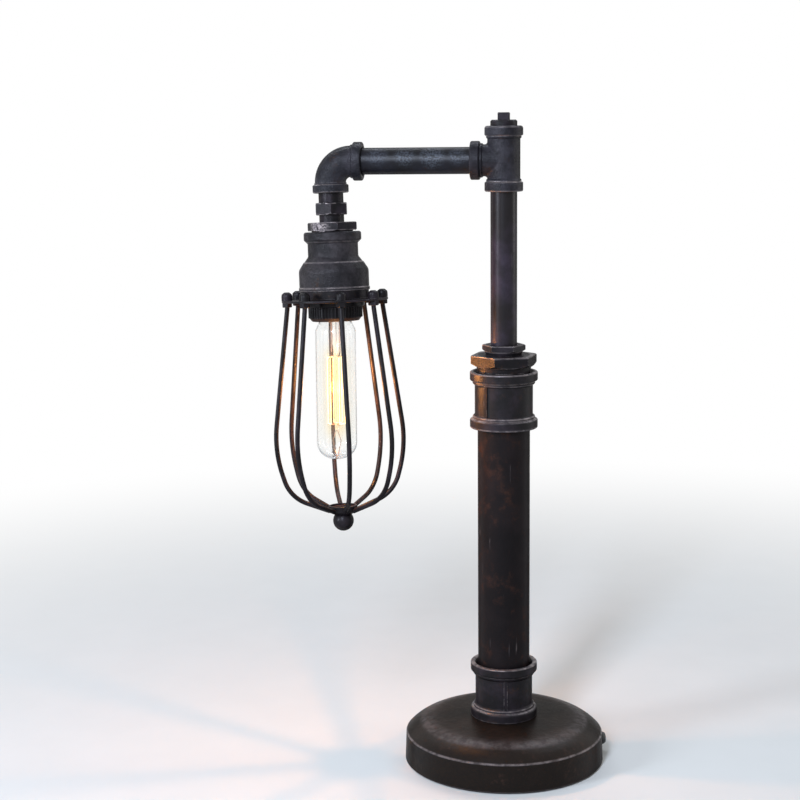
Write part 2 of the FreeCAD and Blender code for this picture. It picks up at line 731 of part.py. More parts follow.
def tee():
    """The banded tee at the top of the riser."""
    up = banded_leg(TEE_BODY_R, TEE_BAND_R, BAND_H, TEE_RISE, TEE_TOP_ROUND)
    lower = down(banded_leg(TEE_BODY_R, TEE_BAND_R, BAND_H, TEE_DROP))
    branch = banded_leg(TEE_BRANCH_R, TEE_BAND_R, BAND_H, TEE_OUTLET)
    side = turned_about(branch, V(0, 1, 0), -90)
    core = cylinder(TEE_BODY_R, BAND_H / 2 - TEE_DROP, TEE_RISE - BAND_H / 2)
    stub = Part.makeCylinder(TEE_BRANCH_R, TEE_OUTLET / 1.7, V(0, 0, 0), V(-1, 0, 0))
    saddle = core.fuse(stub)
    seam = [
        edge for edge in saddle.Edges
        if 0.5 < abs(edge.CenterOfMass.x) < TEE_BODY_R and edge.BoundBox.ZLength > TEE_BRANCH_R
        and edge.BoundBox.YLength > TEE_BRANCH_R / 2
    ]
    saddle = saddle.makeFillet(TEE_SADDLE, seam)
    outside = up.fuse([lower, side, saddle])
    run = cylinder(PIPE_THIN_BORE_R, -TEE_DROP, TEE_RISE)
    way = Part.makeCylinder(PIPE_THIN_BORE_R, TEE_OUTLET, V(0, 0, 0), V(-1, 0, 0))
    top = mouth(PIPE_THIN_R, THIN_THREAD_DEPTH, TEE_RISE)
    bottom = down(mouth(PIPE_THIN_R, THIN_THREAD_DEPTH, TEE_DROP))
    outlet = turned_about(mouth(PIPE_THIN_R, THIN_THREAD_DEPTH, TEE_OUTLET), V(0, 1, 0), -90)
    return moved(outside.cut([run, way, top, bottom, outlet]), z=ARM_Z)


def square_plug():
    """The square-headed plug that closes the top of the tee."""
    show = TEE_TOP_Z + PLUG_SHOW
    body = turned([
        (0, TEE_TOP_Z - THIN_THREAD_DEPTH + 1.0),
        (PIPE_THIN_R - 0.6, TEE_TOP_Z - THIN_THREAD_DEPTH + 1.0),
        (PIPE_THIN_R, TEE_TOP_Z - THIN_THREAD_DEPTH + 2.0),
        (PIPE_THIN_R, show - PLUG_CHAMFER),
        (PIPE_THIN_R - PLUG_CHAMFER, show),
        (0, show),
    ])
    half = PLUG_HEAD_SIDE / 2
    head = Part.makeBox(PLUG_HEAD_SIDE, PLUG_HEAD_SIDE, PLUG_HEAD_H, V(-half, -half, show))
    head = head.makeChamfer(0.5, head.Edges)
    return body.fuse(moved(head, z=-0.6))


def arm_pipe():
    """The level pipe from the tee to the elbow."""
    near = TEE_OUTLET - THIN_THREAD_DEPTH
    far = TEE_OUTLET + ARM_SHOW + THIN_THREAD_DEPTH - 1.5
    pipe = tube(PIPE_THIN_R, PIPE_THIN_BORE_R, near, far)
    return moved(turned_about(pipe, V(0, 1, 0), -90), z=ARM_Z)


def elbow():
    """The banded elbow that carries the head; its inlet turns on the arm."""
    angle = math.radians(HEAD_INWARD)
    outlet_way = V(math.sin(angle), 0, -math.cos(angle))
    shoulder = ELBOW_OUTLET - ELBOW_OUTLET_BAND_H
    inlet_shoulder = ELBOW_INLET - BAND_H
    bend_end = outlet_way * (shoulder + 1.0)
    bend = rod_along(
        [(inlet_shoulder + 1.0, 0, 0), (0, 0, 0, ELBOW_BEND_R), tuple(bend_end)], ELBOW_BODY_R
    )
    inlet = turned_about(
        banded_leg(ELBOW_BODY_R, ELBOW_INLET_BAND_R, BAND_H, ELBOW_INLET), V(0, 1, 0), 90
    )
    outlet = down(banded_leg(
        ELBOW_BODY_R - 0.4, ELBOW_OUTLET_BAND_R, ELBOW_OUTLET_BAND_H, ELBOW_OUTLET
    ))
    outlet = turned_about(outlet, V(0, 1, 0), -HEAD_INWARD)
    start = ELBOW_BEND_START
    keep_inlet = Part.makeBox(60, 60, 60, V(start - 0.2, -30, -30))
    keep_outlet = turned_about(
        Part.makeBox(60, 60, 60, V(-30, -30, -60 - start + 0.2)), V(0, 1, 0), -HEAD_INWARD
    )
    outside = bend.fuse([inlet.common(keep_inlet), outlet.common(keep_outlet)])
    inlet_mouth = turned_about(mouth(
        PIPE_THIN_R + SWIVEL_CLEARANCE - THREAD_CLEARANCE, THIN_THREAD_DEPTH, ELBOW_INLET
    ), V(0, 1, 0), 90)
    outlet_mouth = turned_about(
        down(mouth(NIPPLE_NECK_R, THIN_THREAD_DEPTH - 2.0, ELBOW_OUTLET)), V(0, 1, 0), -HEAD_INWARD
    )
    way_end = outlet_way * ELBOW_OUTLET
    way = rod_along(
        [(ELBOW_INLET, 0, 0), (0, 0, 0, ELBOW_BEND_R), tuple(way_end)], PIPE_THIN_BORE_R
    )
    return in_head(outside.cut([way, inlet_mouth, outlet_mouth]), along_arm=True)


def hex_nipple():
    """The hexagon nipple between the elbow and the head bushing."""
    start = ELBOW_OUTLET - THIN_THREAD_DEPTH + 3.0
    neck = cylinder(NIPPLE_NECK_R, -NIPPLE_END_D, -start)
    head = head_hexagon(
        NIPPLE_HEX_AF, NIPPLE_HEX_D, NIPPLE_HEX_END_D, NIPPLE_FACING, 2.2, 2.2
    )
    tapped_d = NIPPLE_END_D - HOLDER_TUBE_ENGAGE
    bore = turned([
        (0, -start + 1),
        (NIPPLE_BORE_R, -start + 1),
        (NIPPLE_BORE_R, -tapped_d),
        (HOLDER_TUBE_R + THREAD_CLEARANCE, -tapped_d),
        (HOLDER_TUBE_R + THREAD_CLEARANCE, -NIPPLE_END_D - 1),
        (0, -NIPPLE_END_D - 1),
    ])
    return in_head(neck.fuse(head).cut(bore))


def head_bushing():
    """The hexagon bushing that closes the top of the bell."""
    head = head_hexagon(
        HEAD_BUSHING_AF,
        HEAD_BUSHING_D,
        HEAD_BUSHING_D + HEAD_BUSHING_HEX_H,
        HEAD_BUSHING_FACING,
        1.4,
        1.4,
    )
    thread = cylinder(PIPE_MIDDLE_R, -HEAD_BUSHING_END_D, -HEAD_BUSHING_D - HEAD_BUSHING_HEX_H)
    bore = cylinder(NIPPLE_NECK_R + THREAD_CLEARANCE, -HEAD_BUSHING_END_D - 1, -HEAD_BUSHING_D + 1)
    return in_head(thread.fuse(head).cut(bore))


def bell_reducer():
    """The banded bell reducer that houses the lampholder."""
    top, end = REDUCER_D, REDUCER_END_D
    band_end = top + REDUCER_BAND_H
    flare = band_end + REDUCER_NECK_H
    bell = flare + REDUCER_FLARE_H
    small_end = top + REDUCER_SMALL_BORE_H
    wide = end - REDUCER_BELL_BORE_H
    bore_r = PIPE_MIDDLE_R + THREAD_CLEARANCE
    return head_turned([
        (bore_r + MOUTH_CHAMFER, top),
        (REDUCER_BAND_R, top, REDUCER_BAND_ROUND),
        (REDUCER_BAND_R, band_end - REDUCER_BAND_R + REDUCER_NECK_R, BAND_ROUND),
        (REDUCER_NECK_R, band_end, 0.8),
        (REDUCER_NECK_R, flare, 3.0),
        (REDUCER_STEP_R, flare + REDUCER_STEP_DROP),
        (REDUCER_STEP_R + 0.5, flare + REDUCER_STEP_DROP),
        (REDUCER_BELL_R, bell, 6.0),
        (REDUCER_BELL_R, end - REDUCER_LIP_H - REDUCER_LIP_PROUD),
        (REDUCER_BELL_R + REDUCER_LIP_PROUD, end - REDUCER_LIP_H),
        (REDUCER_BELL_R + REDUCER_LIP_PROUD, end, 0.5),
        (REDUCER_BELL_BORE_R, end),
        (REDUCER_BELL_BORE_R, wide),
        (bore_r, small_end),
        (bore_r, top + MOUTH_CHAMFER),
    ])


def holder_tube():
    """The small threaded tube that the lampholder hangs on."""
    return head_turned([
        (HOLDER_TUBE_BORE_R, NIPPLE_END_D - HOLDER_TUBE_ENGAGE + 1.0),
        (HOLDER_TUBE_R, NIPPLE_END_D - HOLDER_TUBE_ENGAGE + 1.0),
        (HOLDER_TUBE_R, HOLDER_CAP_D + 1.0),
        (HOLDER_TUBE_BORE_R, HOLDER_CAP_D + 1.0),
    ])


def holder_washer():
    """The washer under the head bushing."""
    return head_turned([
        (HOLDER_TUBE_R + SCREW_HOLE_GAP, HEAD_BUSHING_END_D),
        (HOLDER_WASHER_R, HEAD_BUSHING_END_D),
        (HOLDER_WASHER_R, HOLDER_NUT_D),
        (HOLDER_TUBE_R + SCREW_HOLE_GAP, HOLDER_NUT_D),
    ])


def holder_locknut():
    """The locknut on the lampholder's tube."""
    far = HOLDER_NUT_D + HOLDER_NUT_H
    nut = head_hexagon(HOLDER_NUT_AF, HOLDER_NUT_D, far, 0.0, 0.5, 0.5)
    return in_head(nut.cut(cylinder(HOLDER_TUBE_R + THREAD_CLEARANCE, -far - 1, -HOLDER_NUT_D + 1)))


def lampholder_cap():
    """The domed cap of the lampholder."""
    wall = HOLDER_WALL
    return head_turned([
        (HOLDER_TUBE_R + THREAD_CLEARANCE, HOLDER_COLLAR_D),
        (HOLDER_COLLAR_R, HOLDER_COLLAR_D, 0.6),
        (HOLDER_COLLAR_R, HOLDER_CAP_D, 1.0),
        (HOLDER_R - 3.0, HOLDER_CAP_D + 1.0, 3.0),
        (HOLDER_R, HOLDER_CAP_D + HOLDER_CAP_H * 0.6, 3.0),
        (HOLDER_R, HOLDER_SKIRT_D - 0.1),
        (HOLDER_R - wall, HOLDER_SKIRT_D - 0.1),
        (HOLDER_R - wall, HOLDER_CAP_D + HOLDER_CAP_H * 0.6, 2.0),
        (HOLDER_R - 3.0 - wall, HOLDER_CAP_D + 1.0 + wall, 2.0),
        (HOLDER_TUBE_R + THREAD_CLEARANCE, HOLDER_CAP_D + 1.0 + wall),
    ])


def lampholder_skirt():
    """The outer sleeve of the lampholder, threaded for the shade ring."""
    return head_turned([
        (HOLDER_R - HOLDER_WALL, HOLDER_SKIRT_D),
        (HOLDER_R, HOLDER_SKIRT_D),
        (HOLDER_R, HOLDER_SKIRT_D + HOLDER_SKIRT_H - 0.6),
        (HOLDER_R - 0.6, HOLDER_SKIRT_D + HOLDER_SKIRT_H),
        (HOLDER_R - HOLDER_WALL, HOLDER_SKIRT_D + HOLDER_SKIRT_H),
    ])


def lampholder_insulator():
    """The ceramic disc that carries the contacts."""
    outer = HOLDER_R - HOLDER_WALL - THREAD_CLEARANCE
    disc = cylinder(outer, -SHELL_D, -INSULATOR_D)
    hole = cylinder(TERMINAL_SCREW_R + THREAD_CLEARANCE, -SHELL_D - 1, -INSULATOR_D + 1)
    rivet = cylinder(SUPPORT_ARM / 4 + THREAD_CLEARANCE, -SHELL_D - 1, -INSULATOR_D + 1)
    return in_head(disc.cut(spread(hole, 2, 90.0, TERMINAL_CIRCLE_R) + [rivet]))


def screw_shell():
    """The brass shell that takes the bulb's cap."""
    return head_turned([
        (TERMINAL_CIRCLE_R - 4.0, SHELL_D),
        (SHELL_BORE_R + SHELL_WALL, SHELL_D),
        (SHELL_BORE_R + SHELL_WALL, SHELL_D + SHELL_H),
        (SHELL_BORE_R, SHELL_D + SHELL_H),
        (SHELL_BORE_R, SHELL_D + SHELL_WALL),
        (TERMINAL_CIRCLE_R - 4.0, SHELL_D + SHELL_WALL),
    ])


def centre_contact():
    """The centre contact, riveted through the insulator."""
    return head_turned([
        (0, INSULATOR_D - 1.0),
        (CONTACT_R / 2, INSULATOR_D - 1.0),
        (CONTACT_R / 2, INSULATOR_D),
        (SUPPORT_ARM / 4, INSULATOR_D),
        (SUPPORT_ARM / 4, SHELL_D),
        (CONTACT_R, SHELL_D),
        (CONTACT_R, SHELL_D + CONTACT_H, 0.6),
        (0, SHELL_D + CONTACT_H),
    ])


def terminal_screws():
    """The two wiring screws on the back of the insulator."""
    screw = down(pan_screw(
        TERMINAL_HEAD_R, TERMINAL_HEAD_H, TERMINAL_SCREW_R, HOLDER_INSULATOR_H - 0.5
    ))
    placed = spread(moved(screw, z=-INSULATOR_D), 2, 90.0, TERMINAL_CIRCLE_R)
    return Part.makeCompound([in_head(item) for item in placed])


def shade_ring():
    """The ring that screws on the lampholder and clamps the cage."""
    start = PLATE_END_D
    end = start + SHADE_H
    bore_r = HOLDER_R + THREAD_CLEARANCE
    return head_turned([
        (bore_r, start),
        (SHADE_FLANGE_R, start),
        (SHADE_FLANGE_R, start + SHADE_FLANGE_H, 0.8),
        (SHADE_BODY_R, start + SHADE_FLANGE_H + 0.6, 0.4),
        (SHADE_BODY_R, end - SHADE_TAPER_H, 0.6),
        (SHADE_MOUTH_R, end, 0.6),
        (SHADE_LIP_R, end),
        (SHADE_LIP_R, end - SHADE_LIP_H),
        (HOLDER_R - HOLDER_WALL, end - SHADE_LIP_H),
        (bore_r, HOLDER_SKIRT_D + HOLDER_SKIRT_H + 0.3),
    ])


def cage_gallery():
    """The drum and plate that carry the cage wires."""
    plate_hole = HOLDER_R + SCREW_HOLE_GAP
    body = turned([
        (plate_hole, -GALLERY_D),
        (GALLERY_DRUM_R - GALLERY_WALL, -GALLERY_D),
        (GALLERY_DRUM_R - GALLERY_WALL, -REDUCER_END_D),
        (GALLERY_DRUM_R, -REDUCER_END_D),
        (GALLERY_DRUM_R, -GALLERY_D, 0.8),
        (GALLERY_PLATE_R, -GALLERY_D, 0.4),
        (GALLERY_PLATE_R, -PLATE_END_D, 0.4),
        (plate_hole, -PLATE_END_D),
    ])
    hole = cylinder(WIRE_R + THREAD_CLEARANCE, -PLATE_END_D - 1, -GALLERY_D + 1)
    return in_head(body.cut(spread(hole, WIRE_COUNT, WIRE_FIRST_FACING, WIRE_CIRCLE_R)))


def hub_block():
    """The hub's outside, which the wires end against."""
    top = PLATE_END_D + HUB_DROP
    return turned([
        (0, -top),
        (HUB_R, -top, 0.5),
        (HUB_R, -top - HUB_SIDE_H, 1.0),
        (HUB_FOOT_R, -top - HUB_H, 0.8),
        (0, -top - HUB_H),
    ])


def cage_wire(facing, sway):
    """One wire of the cage: a threaded top, a long flare, a belly and a hip."""
    out = facing_vector(facing)
    side = facing_vector(facing + 90)
    route = []
    for radius, drift, depth, bend in (
        (WIRE_CIRCLE_R, 0, GALLERY_D - WIRE_THREAD_UP, 0),
        (WIRE_CIRCLE_R, 0, PLATE_END_D + WIRE_THREAD_DOWN, WIRE_TOP_BEND),
        (WIRE_BELLY_R, sway, PLATE_END_D + WIRE_BELLY_DROP, WIRE_BELLY_BEND),
        (WIRE_HIP_R, sway / 2, PLATE_END_D + WIRE_HIP_DROP, WIRE_HIP_BEND),
        (HUB_R - WIRE_R / 2, 0, PLATE_END_D + WIRE_END_DROP, 0),
    ):
        place = out * radius + side * drift
        route.append((place.x, place.y, -depth, bend))
    wire = rod_along(route, WIRE_R)
    return in_head(wire.cut(hub_block()))


def acorn_nuts():
    """The domed nuts above the plate."""
    nut = turned([
        (0, 0),
        (ACORN_R, 0),
        (ACORN_R, ACORN_SKIRT_H),
        (ACORN_R * 0.94, ACORN_H - 1.6, 1.5),
        (ACORN_R * 0.45, ACORN_H, 1.6),
        (0, ACORN_H),
    ])
    nut = nut.cut(cylinder(WIRE_R + THREAD_CLEARANCE, -1, WIRE_THREAD_UP + 0.2))
    placed = spread(moved(nut, z=-GALLERY_D), WIRE_COUNT, WIRE_FIRST_FACING, WIRE_CIRCLE_R)
    return Part.makeCompound([in_head(item) for item in placed])


def cage_lower_nuts():
    """The hexagon nuts under the plate."""
    nut = hexagon(LOWER_NUT_AF, -LOWER_NUT_H, 0, 0.0, 0.8, 0.3)
    nut = nut.cut(cylinder(WIRE_R + THREAD_CLEARANCE, -LOWER_NUT_H - 1, 1))
    placed = []
    for k in range(WIRE_COUNT):
        facing = WIRE_FIRST_FACING + 360.0 * k / WIRE_COUNT
        turned_nut = turned_about(nut, V(0, 0, 1), facing)
        place = facing_vector(facing, WIRE_CIRCLE_R)
        placed.append(in_head(moved(turned_nut, place.x, place.y, -PLATE_END_D)))
    return Part.makeCompound(placed)


def cage_hub():
    """The small cup where the wires meet, with a hole for the finial's stud."""
    top = PLATE_END_D + HUB_DROP
    floor = top + HUB_RECESS_H
    recess = cylinder(HUB_RECESS_R, -floor, -top + 1)
    hole = cylinder(FINIAL_STUD_R + THREAD_CLEARANCE, -top - HUB_H - 1, -top)
    return in_head(hub_block().cut([recess, hole]))


def finial():
    """The ball under the cage, with a flat seat and a stud in the hub."""
    seat = PLATE_END_D + HUB_DROP + HUB_H
    centre = PLATE_END_D + FINIAL_DROP
    ball = Part.makeSphere(FINIAL_R, V(0, 0, -centre))
    ball = ball.cut(cylinder(FINIAL_R, -seat, -seat + 2 * FINIAL_R))
    stud = cylinder(FINIAL_STUD_R, -centre, -seat + HUB_H - HUB_RECESS_H - 0.2)
    return in_head(ball.fuse(stud))


def bulb_outline(inset):
    """The glass outline from the cap to the tip, drawn in by the wall when asked."""
    tip = BULB_TIP_D - inset
    radius = BULB_R - inset
    return [
        (BULB_NECK_R - inset, GLASS_D - BULB_SKEW_DEPTH),
        (BULB_NECK_R - inset, GLASS_D + BULB_NECK_H, 5.0),
        (radius, GLASS_D + BULB_NECK_H + BULB_SHOULDER_H, 7.0),
        (radius, tip, BULB_TIP_ROUND - inset),
        (0, tip),
    ]


def bulb_glass():
    """The clear tube of the bulb."""
    outer = bulb_outline(0.0)
    inner = bulb_outline(BULB_WALL)
    return glass_turned(outer + inner[::-1])


def bulb_cap():
    """The screw cap of the bulb."""
    return head_turned([
        (BULB_CONE_R, CAP_D),
        (BULB_CAP_R, CAP_D + 1.0, 0.8),
        (BULB_CAP_R, GLASS_D),
        (BULB_CAP_R - BULB_CAP_WALL, GLASS_D),
        (BULB_CAP_R - BULB_CAP_WALL, CAP_D + 1.0 + BULB_CAP_WALL, 0.5),
        (BULB_CONE_R, CAP_D + BULB_CAP_WALL),
    ])


def bulb_insulator():
    """The dark glass cone between the cap and its centre contact."""
    return head_turned([
        (0, CONE_D),
        (BULB_BUTTON_R + 0.6, CONE_D),
        (BULB_CAP_R - 1.6, CAP_D, 0.5),
        (BULB_CONE_R, CAP_D),
        (BULB_CONE_R, CAP_D + BULB_CAP_WALL),
        (0, CAP_D + BULB_CAP_WALL),
    ])


def bulb_button():
    """The centre contact of the bulb."""
    return head_turned([
        (0, BUTTON_D),
        (BULB_BUTTON_R, BUTTON_D, 0.8),
        (BULB_BUTTON_R, CONE_D),
        (0, CONE_D),
    ])


def bulb_stem():
    """The glass mount inside the bulb: a flare, a stem and a thin rod."""
    rod_end = BULB_TIP_D - ROD_END_GAP
    return glass_turned([
        (0, GLASS_D - STEM_FLARE_H),
        (STEM_FLARE_R, GLASS_D - STEM_FLARE_H, 0.8),
        (STEM_R, GLASS_D, 3.0),
        (STEM_R, GLASS_D + STEM_H * 0.6, 2.0),
        (ROD_R, GLASS_D + STEM_H * 0.8, 2.0),
        (ROD_R, rod_end, 0.8),
        (0, rod_end),
    ])


def bulb_supports():
    """The fine wires that hold the filament: two leads, two spiders and a tip spring."""
    wires = []
    top, bottom = GLASS_D + FILAMENT_TOP, GLASS_D + FILAMENT_BOTTOM
    rod_end = BULB_TIP_D - ROD_END_GAP
    beyond = FILAMENT_R + SUPPORT_R + GLASS_GAP
    for k in range(FILAMENT_STRANDS - 1):
        out = strand_facing(k)
        depth = top - beyond if k % 2 else bottom + beyond
        inner, outer = out * (ROD_R + GLASS_GAP), out * (SUPPORT_ARM + SUPPORT_R)
        wires.append(rod_along(
            [(inner.x, inner.y, -depth), (outer.x, outer.y, -depth)], SUPPORT_R
        ))
    foot = BULB_TIP_D - BULB_WALL - GLASS_GAP - SUPPORT_R / 2
    lead_end = top - FILAMENT_R - LEAD_IN_R - GLASS_GAP
    for side, k in ((1, 0), (-1, FILAMENT_STRANDS - 1)):
        strand = strand_facing(k) * SUPPORT_ARM
        wires.append(rod_along([
            (side * (SUPPORT_R + GLASS_GAP), 0, -rod_end - GLASS_GAP - SUPPORT_R / 2),
            (side * 3.4, 0, -rod_end - 9.0, 2.0),
            (side * (SUPPORT_R + GLASS_GAP), 0, -foot),
        ], SUPPORT_R))
        wires.append(rod_along([
            (side * LEAD_IN_OFFSET, 0, -GLASS_D - LEAD_IN_START),
            (side * LEAD_IN_OFFSET, 0, -top + LEAD_IN_SPLAY_H, 1.5),
            (strand.x, strand.y, -lead_end),
        ], LEAD_IN_R))
    return Part.makeCompound([in_glass(item) for item in wires])


def strand_facing(k):
    """The way out from the rod to one strand of the filament."""
    return facing_vector(FILAMENT_FIRST_FACING + 360.0 * k / FILAMENT_STRANDS)


def filament():
    """The squirrel-cage filament: strands up and down round the rod, with both ends at the top."""
    top, bottom = GLASS_D + FILAMENT_TOP, GLASS_D + FILAMENT_BOTTOM
    points = []
    for k in range(FILAMENT_STRANDS):
        out = strand_facing(k) * SUPPORT_ARM
        ends = (bottom, top) if k % 2 else (top, bottom)
        points += [V(out.x, out.y, -ends[0]), V(out.x, out.y, -ends[1])]
    strand = None
    for start, end in zip(points, points[1:]):
        length = (end - start).Length
        piece = Part.makeCylinder(FILAMENT_R, length, start, end - start)
        ball = Part.makeSphere(FILAMENT_R, end)
        strand = piece.fuse(ball) if strand is None else strand.fuse([piece, ball])
    return in_glass(strand)


def base_lead():
    """The lead from the cord outlet up the post to the swivel."""
    inner = facing_vector(GLAND_FACING, BASE_RIM_R - BASE_WALL - GLAND_TAIL - LEAD_SPLIT_GAP)
    return rod_along([
        (inner.x, inner.y, GLAND_Z),
        (0, 0, GLAND_Z, LEAD_BASE_BEND),
        (0, 0, BUSHING_TOP_Z),
    ], LEAD_R)


def arm_lead():
    """The lead from the swivel through the tee and along the arm."""
    return rod_along([
        (0, 0, BUSHING_TOP_Z + LEAD_SPLIT_GAP),
        (0, 0, ARM_Z, LEAD_TEE_BEND),
        (-ARM_REACH + ELBOW_INLET, 0, ARM_Z),
    ], LEAD_R)


def head_lead():
    """The lead from the end of the arm round the elbow to the lampholder."""
    angle = math.radians(HEAD_INWARD)
    down_way = V(math.sin(angle), 0, -math.cos(angle)) * (INSULATOR_D - TERMINAL_HEAD_H - 2.0)
    lead = rod_along([
        (ELBOW_INLET - LEAD_SPLIT_GAP, 0, 0),
        (0, 0, 0, ELBOW_BEND_R),
        (down_way.x, down_way.y, down_way.z),
    ], LEAD_R)
    return in_head(lead, along_arm=True)


def all_parts():
    """Every piece by its name."""
    parts = {
        "base_casting": base_casting(),
        "bottom_cover": bottom_cover(),
        "felt_pad": felt_pad(),
        "cover_screws": cover_screws(),
        "earth_screw": earth_screw(),
        "base_nipple": base_nipple(),
        "base_washer": base_washer(),
        "base_locknut": base_locknut(),
        "cord_gland": cord_gland(),
        "gland_nut": gland_nut(),
        "lower_socket": large_socket(BASE_TOP_Z, LOWER_RIB_FACING),
        "lower_riser": lower_riser(),
        "upper_socket": large_socket(UPPER_SOCKET_Z, UPPER_RIB_FACING),
        "reducing_bushing": reducing_bushing(),
        "backnut": backnut(),
        "upper_riser": upper_riser(),
        "tee": tee(),
        "square_plug": square_plug(),
        "arm_pipe": arm_pipe(),
        "elbow": elbow(),
        "hex_nipple": hex_nipple(),
        "head_bushing": head_bushing(),
        "bell_reducer": bell_reducer(),
        "holder_tube": holder_tube(),
        "holder_washer": holder_washer(),
        "holder_locknut": holder_locknut(),
        "lampholder_cap": lampholder_cap(),
        "lampholder_skirt": lampholder_skirt(),
        "lampholder_insulator": lampholder_insulator(),
        "screw_shell": screw_shell(),
        "centre_contact": centre_contact(),
        "terminal_screws": terminal_screws(),
        "shade_ring": shade_ring(),
        "cage_gallery": cage_gallery(),
        "acorn_nuts": acorn_nuts(),
        "cage_lower_nuts": cage_lower_nuts(),
        "cage_hub": cage_hub(),
        "finial": finial(),
        "bulb_glass": bulb_glass(),
        "bulb_cap": bulb_cap(),
        "bulb_insulator": bulb_insulator(),
        "bulb_button": bulb_button(),
        "bulb_stem": bulb_stem(),
        "bulb_supports": bulb_supports(),
        "filament": filament(),
        "base_lead": base_lead(),
        "arm_lead": arm_lead(),
        "head_lead": head_lead(),
    }
    for k in range(WIRE_COUNT):
        facing = WIRE_FIRST_FACING + 360.0 * k / WIRE_COUNT
        parts["cage_wire_%d" % (k + 1)] = cage_wire(facing, WIRE_SWAY[k])
    return parts


def main():
    """Write one file for each piece."""
    os.makedirs("parts", exist_ok=True)
    for name, shape in all_parts().items():
        if not shape.isValid() or not shape.Solids:
            raise ValueError(name + " isn't a sound solid")
        shape.exportStep("parts/" + name + ".step")
        print(name, len(shape.Solids), round(shape.Volume, 1))


main()
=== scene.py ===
"""An industrial pipe lamp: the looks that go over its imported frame."""

import math

import bpy
from mathutils import Matrix, Vector


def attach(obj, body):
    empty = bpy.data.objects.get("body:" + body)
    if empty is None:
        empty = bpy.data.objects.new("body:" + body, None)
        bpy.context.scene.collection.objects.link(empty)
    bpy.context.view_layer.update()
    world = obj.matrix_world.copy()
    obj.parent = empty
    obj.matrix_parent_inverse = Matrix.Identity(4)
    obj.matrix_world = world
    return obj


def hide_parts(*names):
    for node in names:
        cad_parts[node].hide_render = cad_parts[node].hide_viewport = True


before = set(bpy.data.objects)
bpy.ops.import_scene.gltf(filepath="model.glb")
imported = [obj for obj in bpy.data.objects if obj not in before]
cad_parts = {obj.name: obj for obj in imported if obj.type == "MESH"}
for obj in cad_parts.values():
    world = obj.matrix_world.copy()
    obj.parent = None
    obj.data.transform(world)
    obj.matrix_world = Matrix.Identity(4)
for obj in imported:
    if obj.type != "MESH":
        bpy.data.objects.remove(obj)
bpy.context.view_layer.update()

# Lines that the pieces are turned about: a point and a way along, in metres
UPRIGHT = ((0.0, 0.0, 0.0), (0.0, 0.0, 1.0))
ELBOW_CENTRE = (-0.1398, 0.0, 0.4943)
ARM_LINE = (ELBOW_CENTRE, (1.0, 0.0, 0.0))
HEAD_LINE = (ELBOW_CENTRE, (0.0332, -0.0575, -0.9978))
HEAD_LEAN = (-1.9, -3.3)
GLASS_LEAN = 1.4
GLASS_HINGE_DEPTH = 0.1113

# The bulb
FILAMENT_TOP_DEPTH = 0.1573
FILAMENT_FOOT_DEPTH = 0.2113
FILAMENT_CIRCLE_R = 0.007
STRAND_COUNT = 6
STRAND_FIRST_FACING = 30.0
COIL_R = 0.00032
COIL_WIRE_R = 0.00013
COIL_PITCH = 0.0008
COIL_STEPS = 9.0
STRAND_CORNER_R = 0.0008

# The ribbed ring
RING_TOP_DEPTH = 0.1163
RING_FOOT_DEPTH = 0.1249
RING_RIB_CIRCLE_R = 0.0211
RING_RIB_R = 0.00085
RING_RIB_COUNT = 50

# Finish colours
IRON_BLACK = (0.0085, 0.0077, 0.0084)
PIPE_BLACK = (0.0100, 0.0082, 0.0090)
ARM_BLACK = (0.0062, 0.0060, 0.0072)
RUST_BROWN = (0.036, 0.0195, 0.0135)
PLUM_HAZE = (0.020, 0.0155, 0.0195)
# Bare metal for wear, and for the painted highlights of rims and patches
WEAR_AND_HIGHLIGHT_METAL = (0.215, 0.187, 0.187)
# The arm's bare steel, bluish, also the tone of its painted highlights
SCRATCH_AND_HIGHLIGHT_STEEL = (0.30, 0.34, 0.42)
DEEP_PORE = (0.004, 0.0035, 0.004)
CLEAR_GLASS = (0.975, 0.98, 0.975)
# Painted shade: the bulb glass's tone where it turns away
GLASS_PAINTED_EDGE_SHADE = (0.8, 0.82, 0.82)
# Painted glow: the warm tint of the bulb glass in front of the lit filament
GLASS_PAINTED_GLOW_TONE = (1.0, 0.92, 0.74)
FILAMENT_COOLER = (1.0, 0.66, 0.3)
FILAMENT_HOTTER = (1.0, 0.82, 0.5)
FILAMENT_STRENGTH = 2.6

MOUNT_TONE = (0.95, 0.93, 0.9, 1.0)
# Painted glow: the mount glass shines warm, though it is no lamp
MOUNT_PAINTED_GLOW_TONE = (1.0, 0.52, 0.16)
MOUNT_PAINTED_GLOW_STRENGTH = 0.2
NO_LIGHT = (0.0, 0.0, 0.0)
WHITE = (1.0, 1.0, 1.0)
FITTING_HAZE = (0.030, 0.028, 0.034)
BARE_ZINC = (0.62, 0.63, 0.64)
BARE_BRASS = (0.62, 0.44, 0.2)
MOUNT_WIRE = (0.3, 0.22, 0.17)
PHENOLIC_BLACK = (0.014, 0.013, 0.013)
CERAMIC_WHITE = (0.78, 0.75, 0.68)
CAP_GLASS = (0.02, 0.015, 0.03)
SHEATH_BLACK = (0.02, 0.02, 0.022)
GLAND_BLACK = (0.012, 0.012, 0.013)
FELT_DARK = (0.012, 0.012, 0.014)
FELT_LIGHT = (0.05, 0.05, 0.055)
FELT_CLOUD = (0.03, 0.028, 0.028)
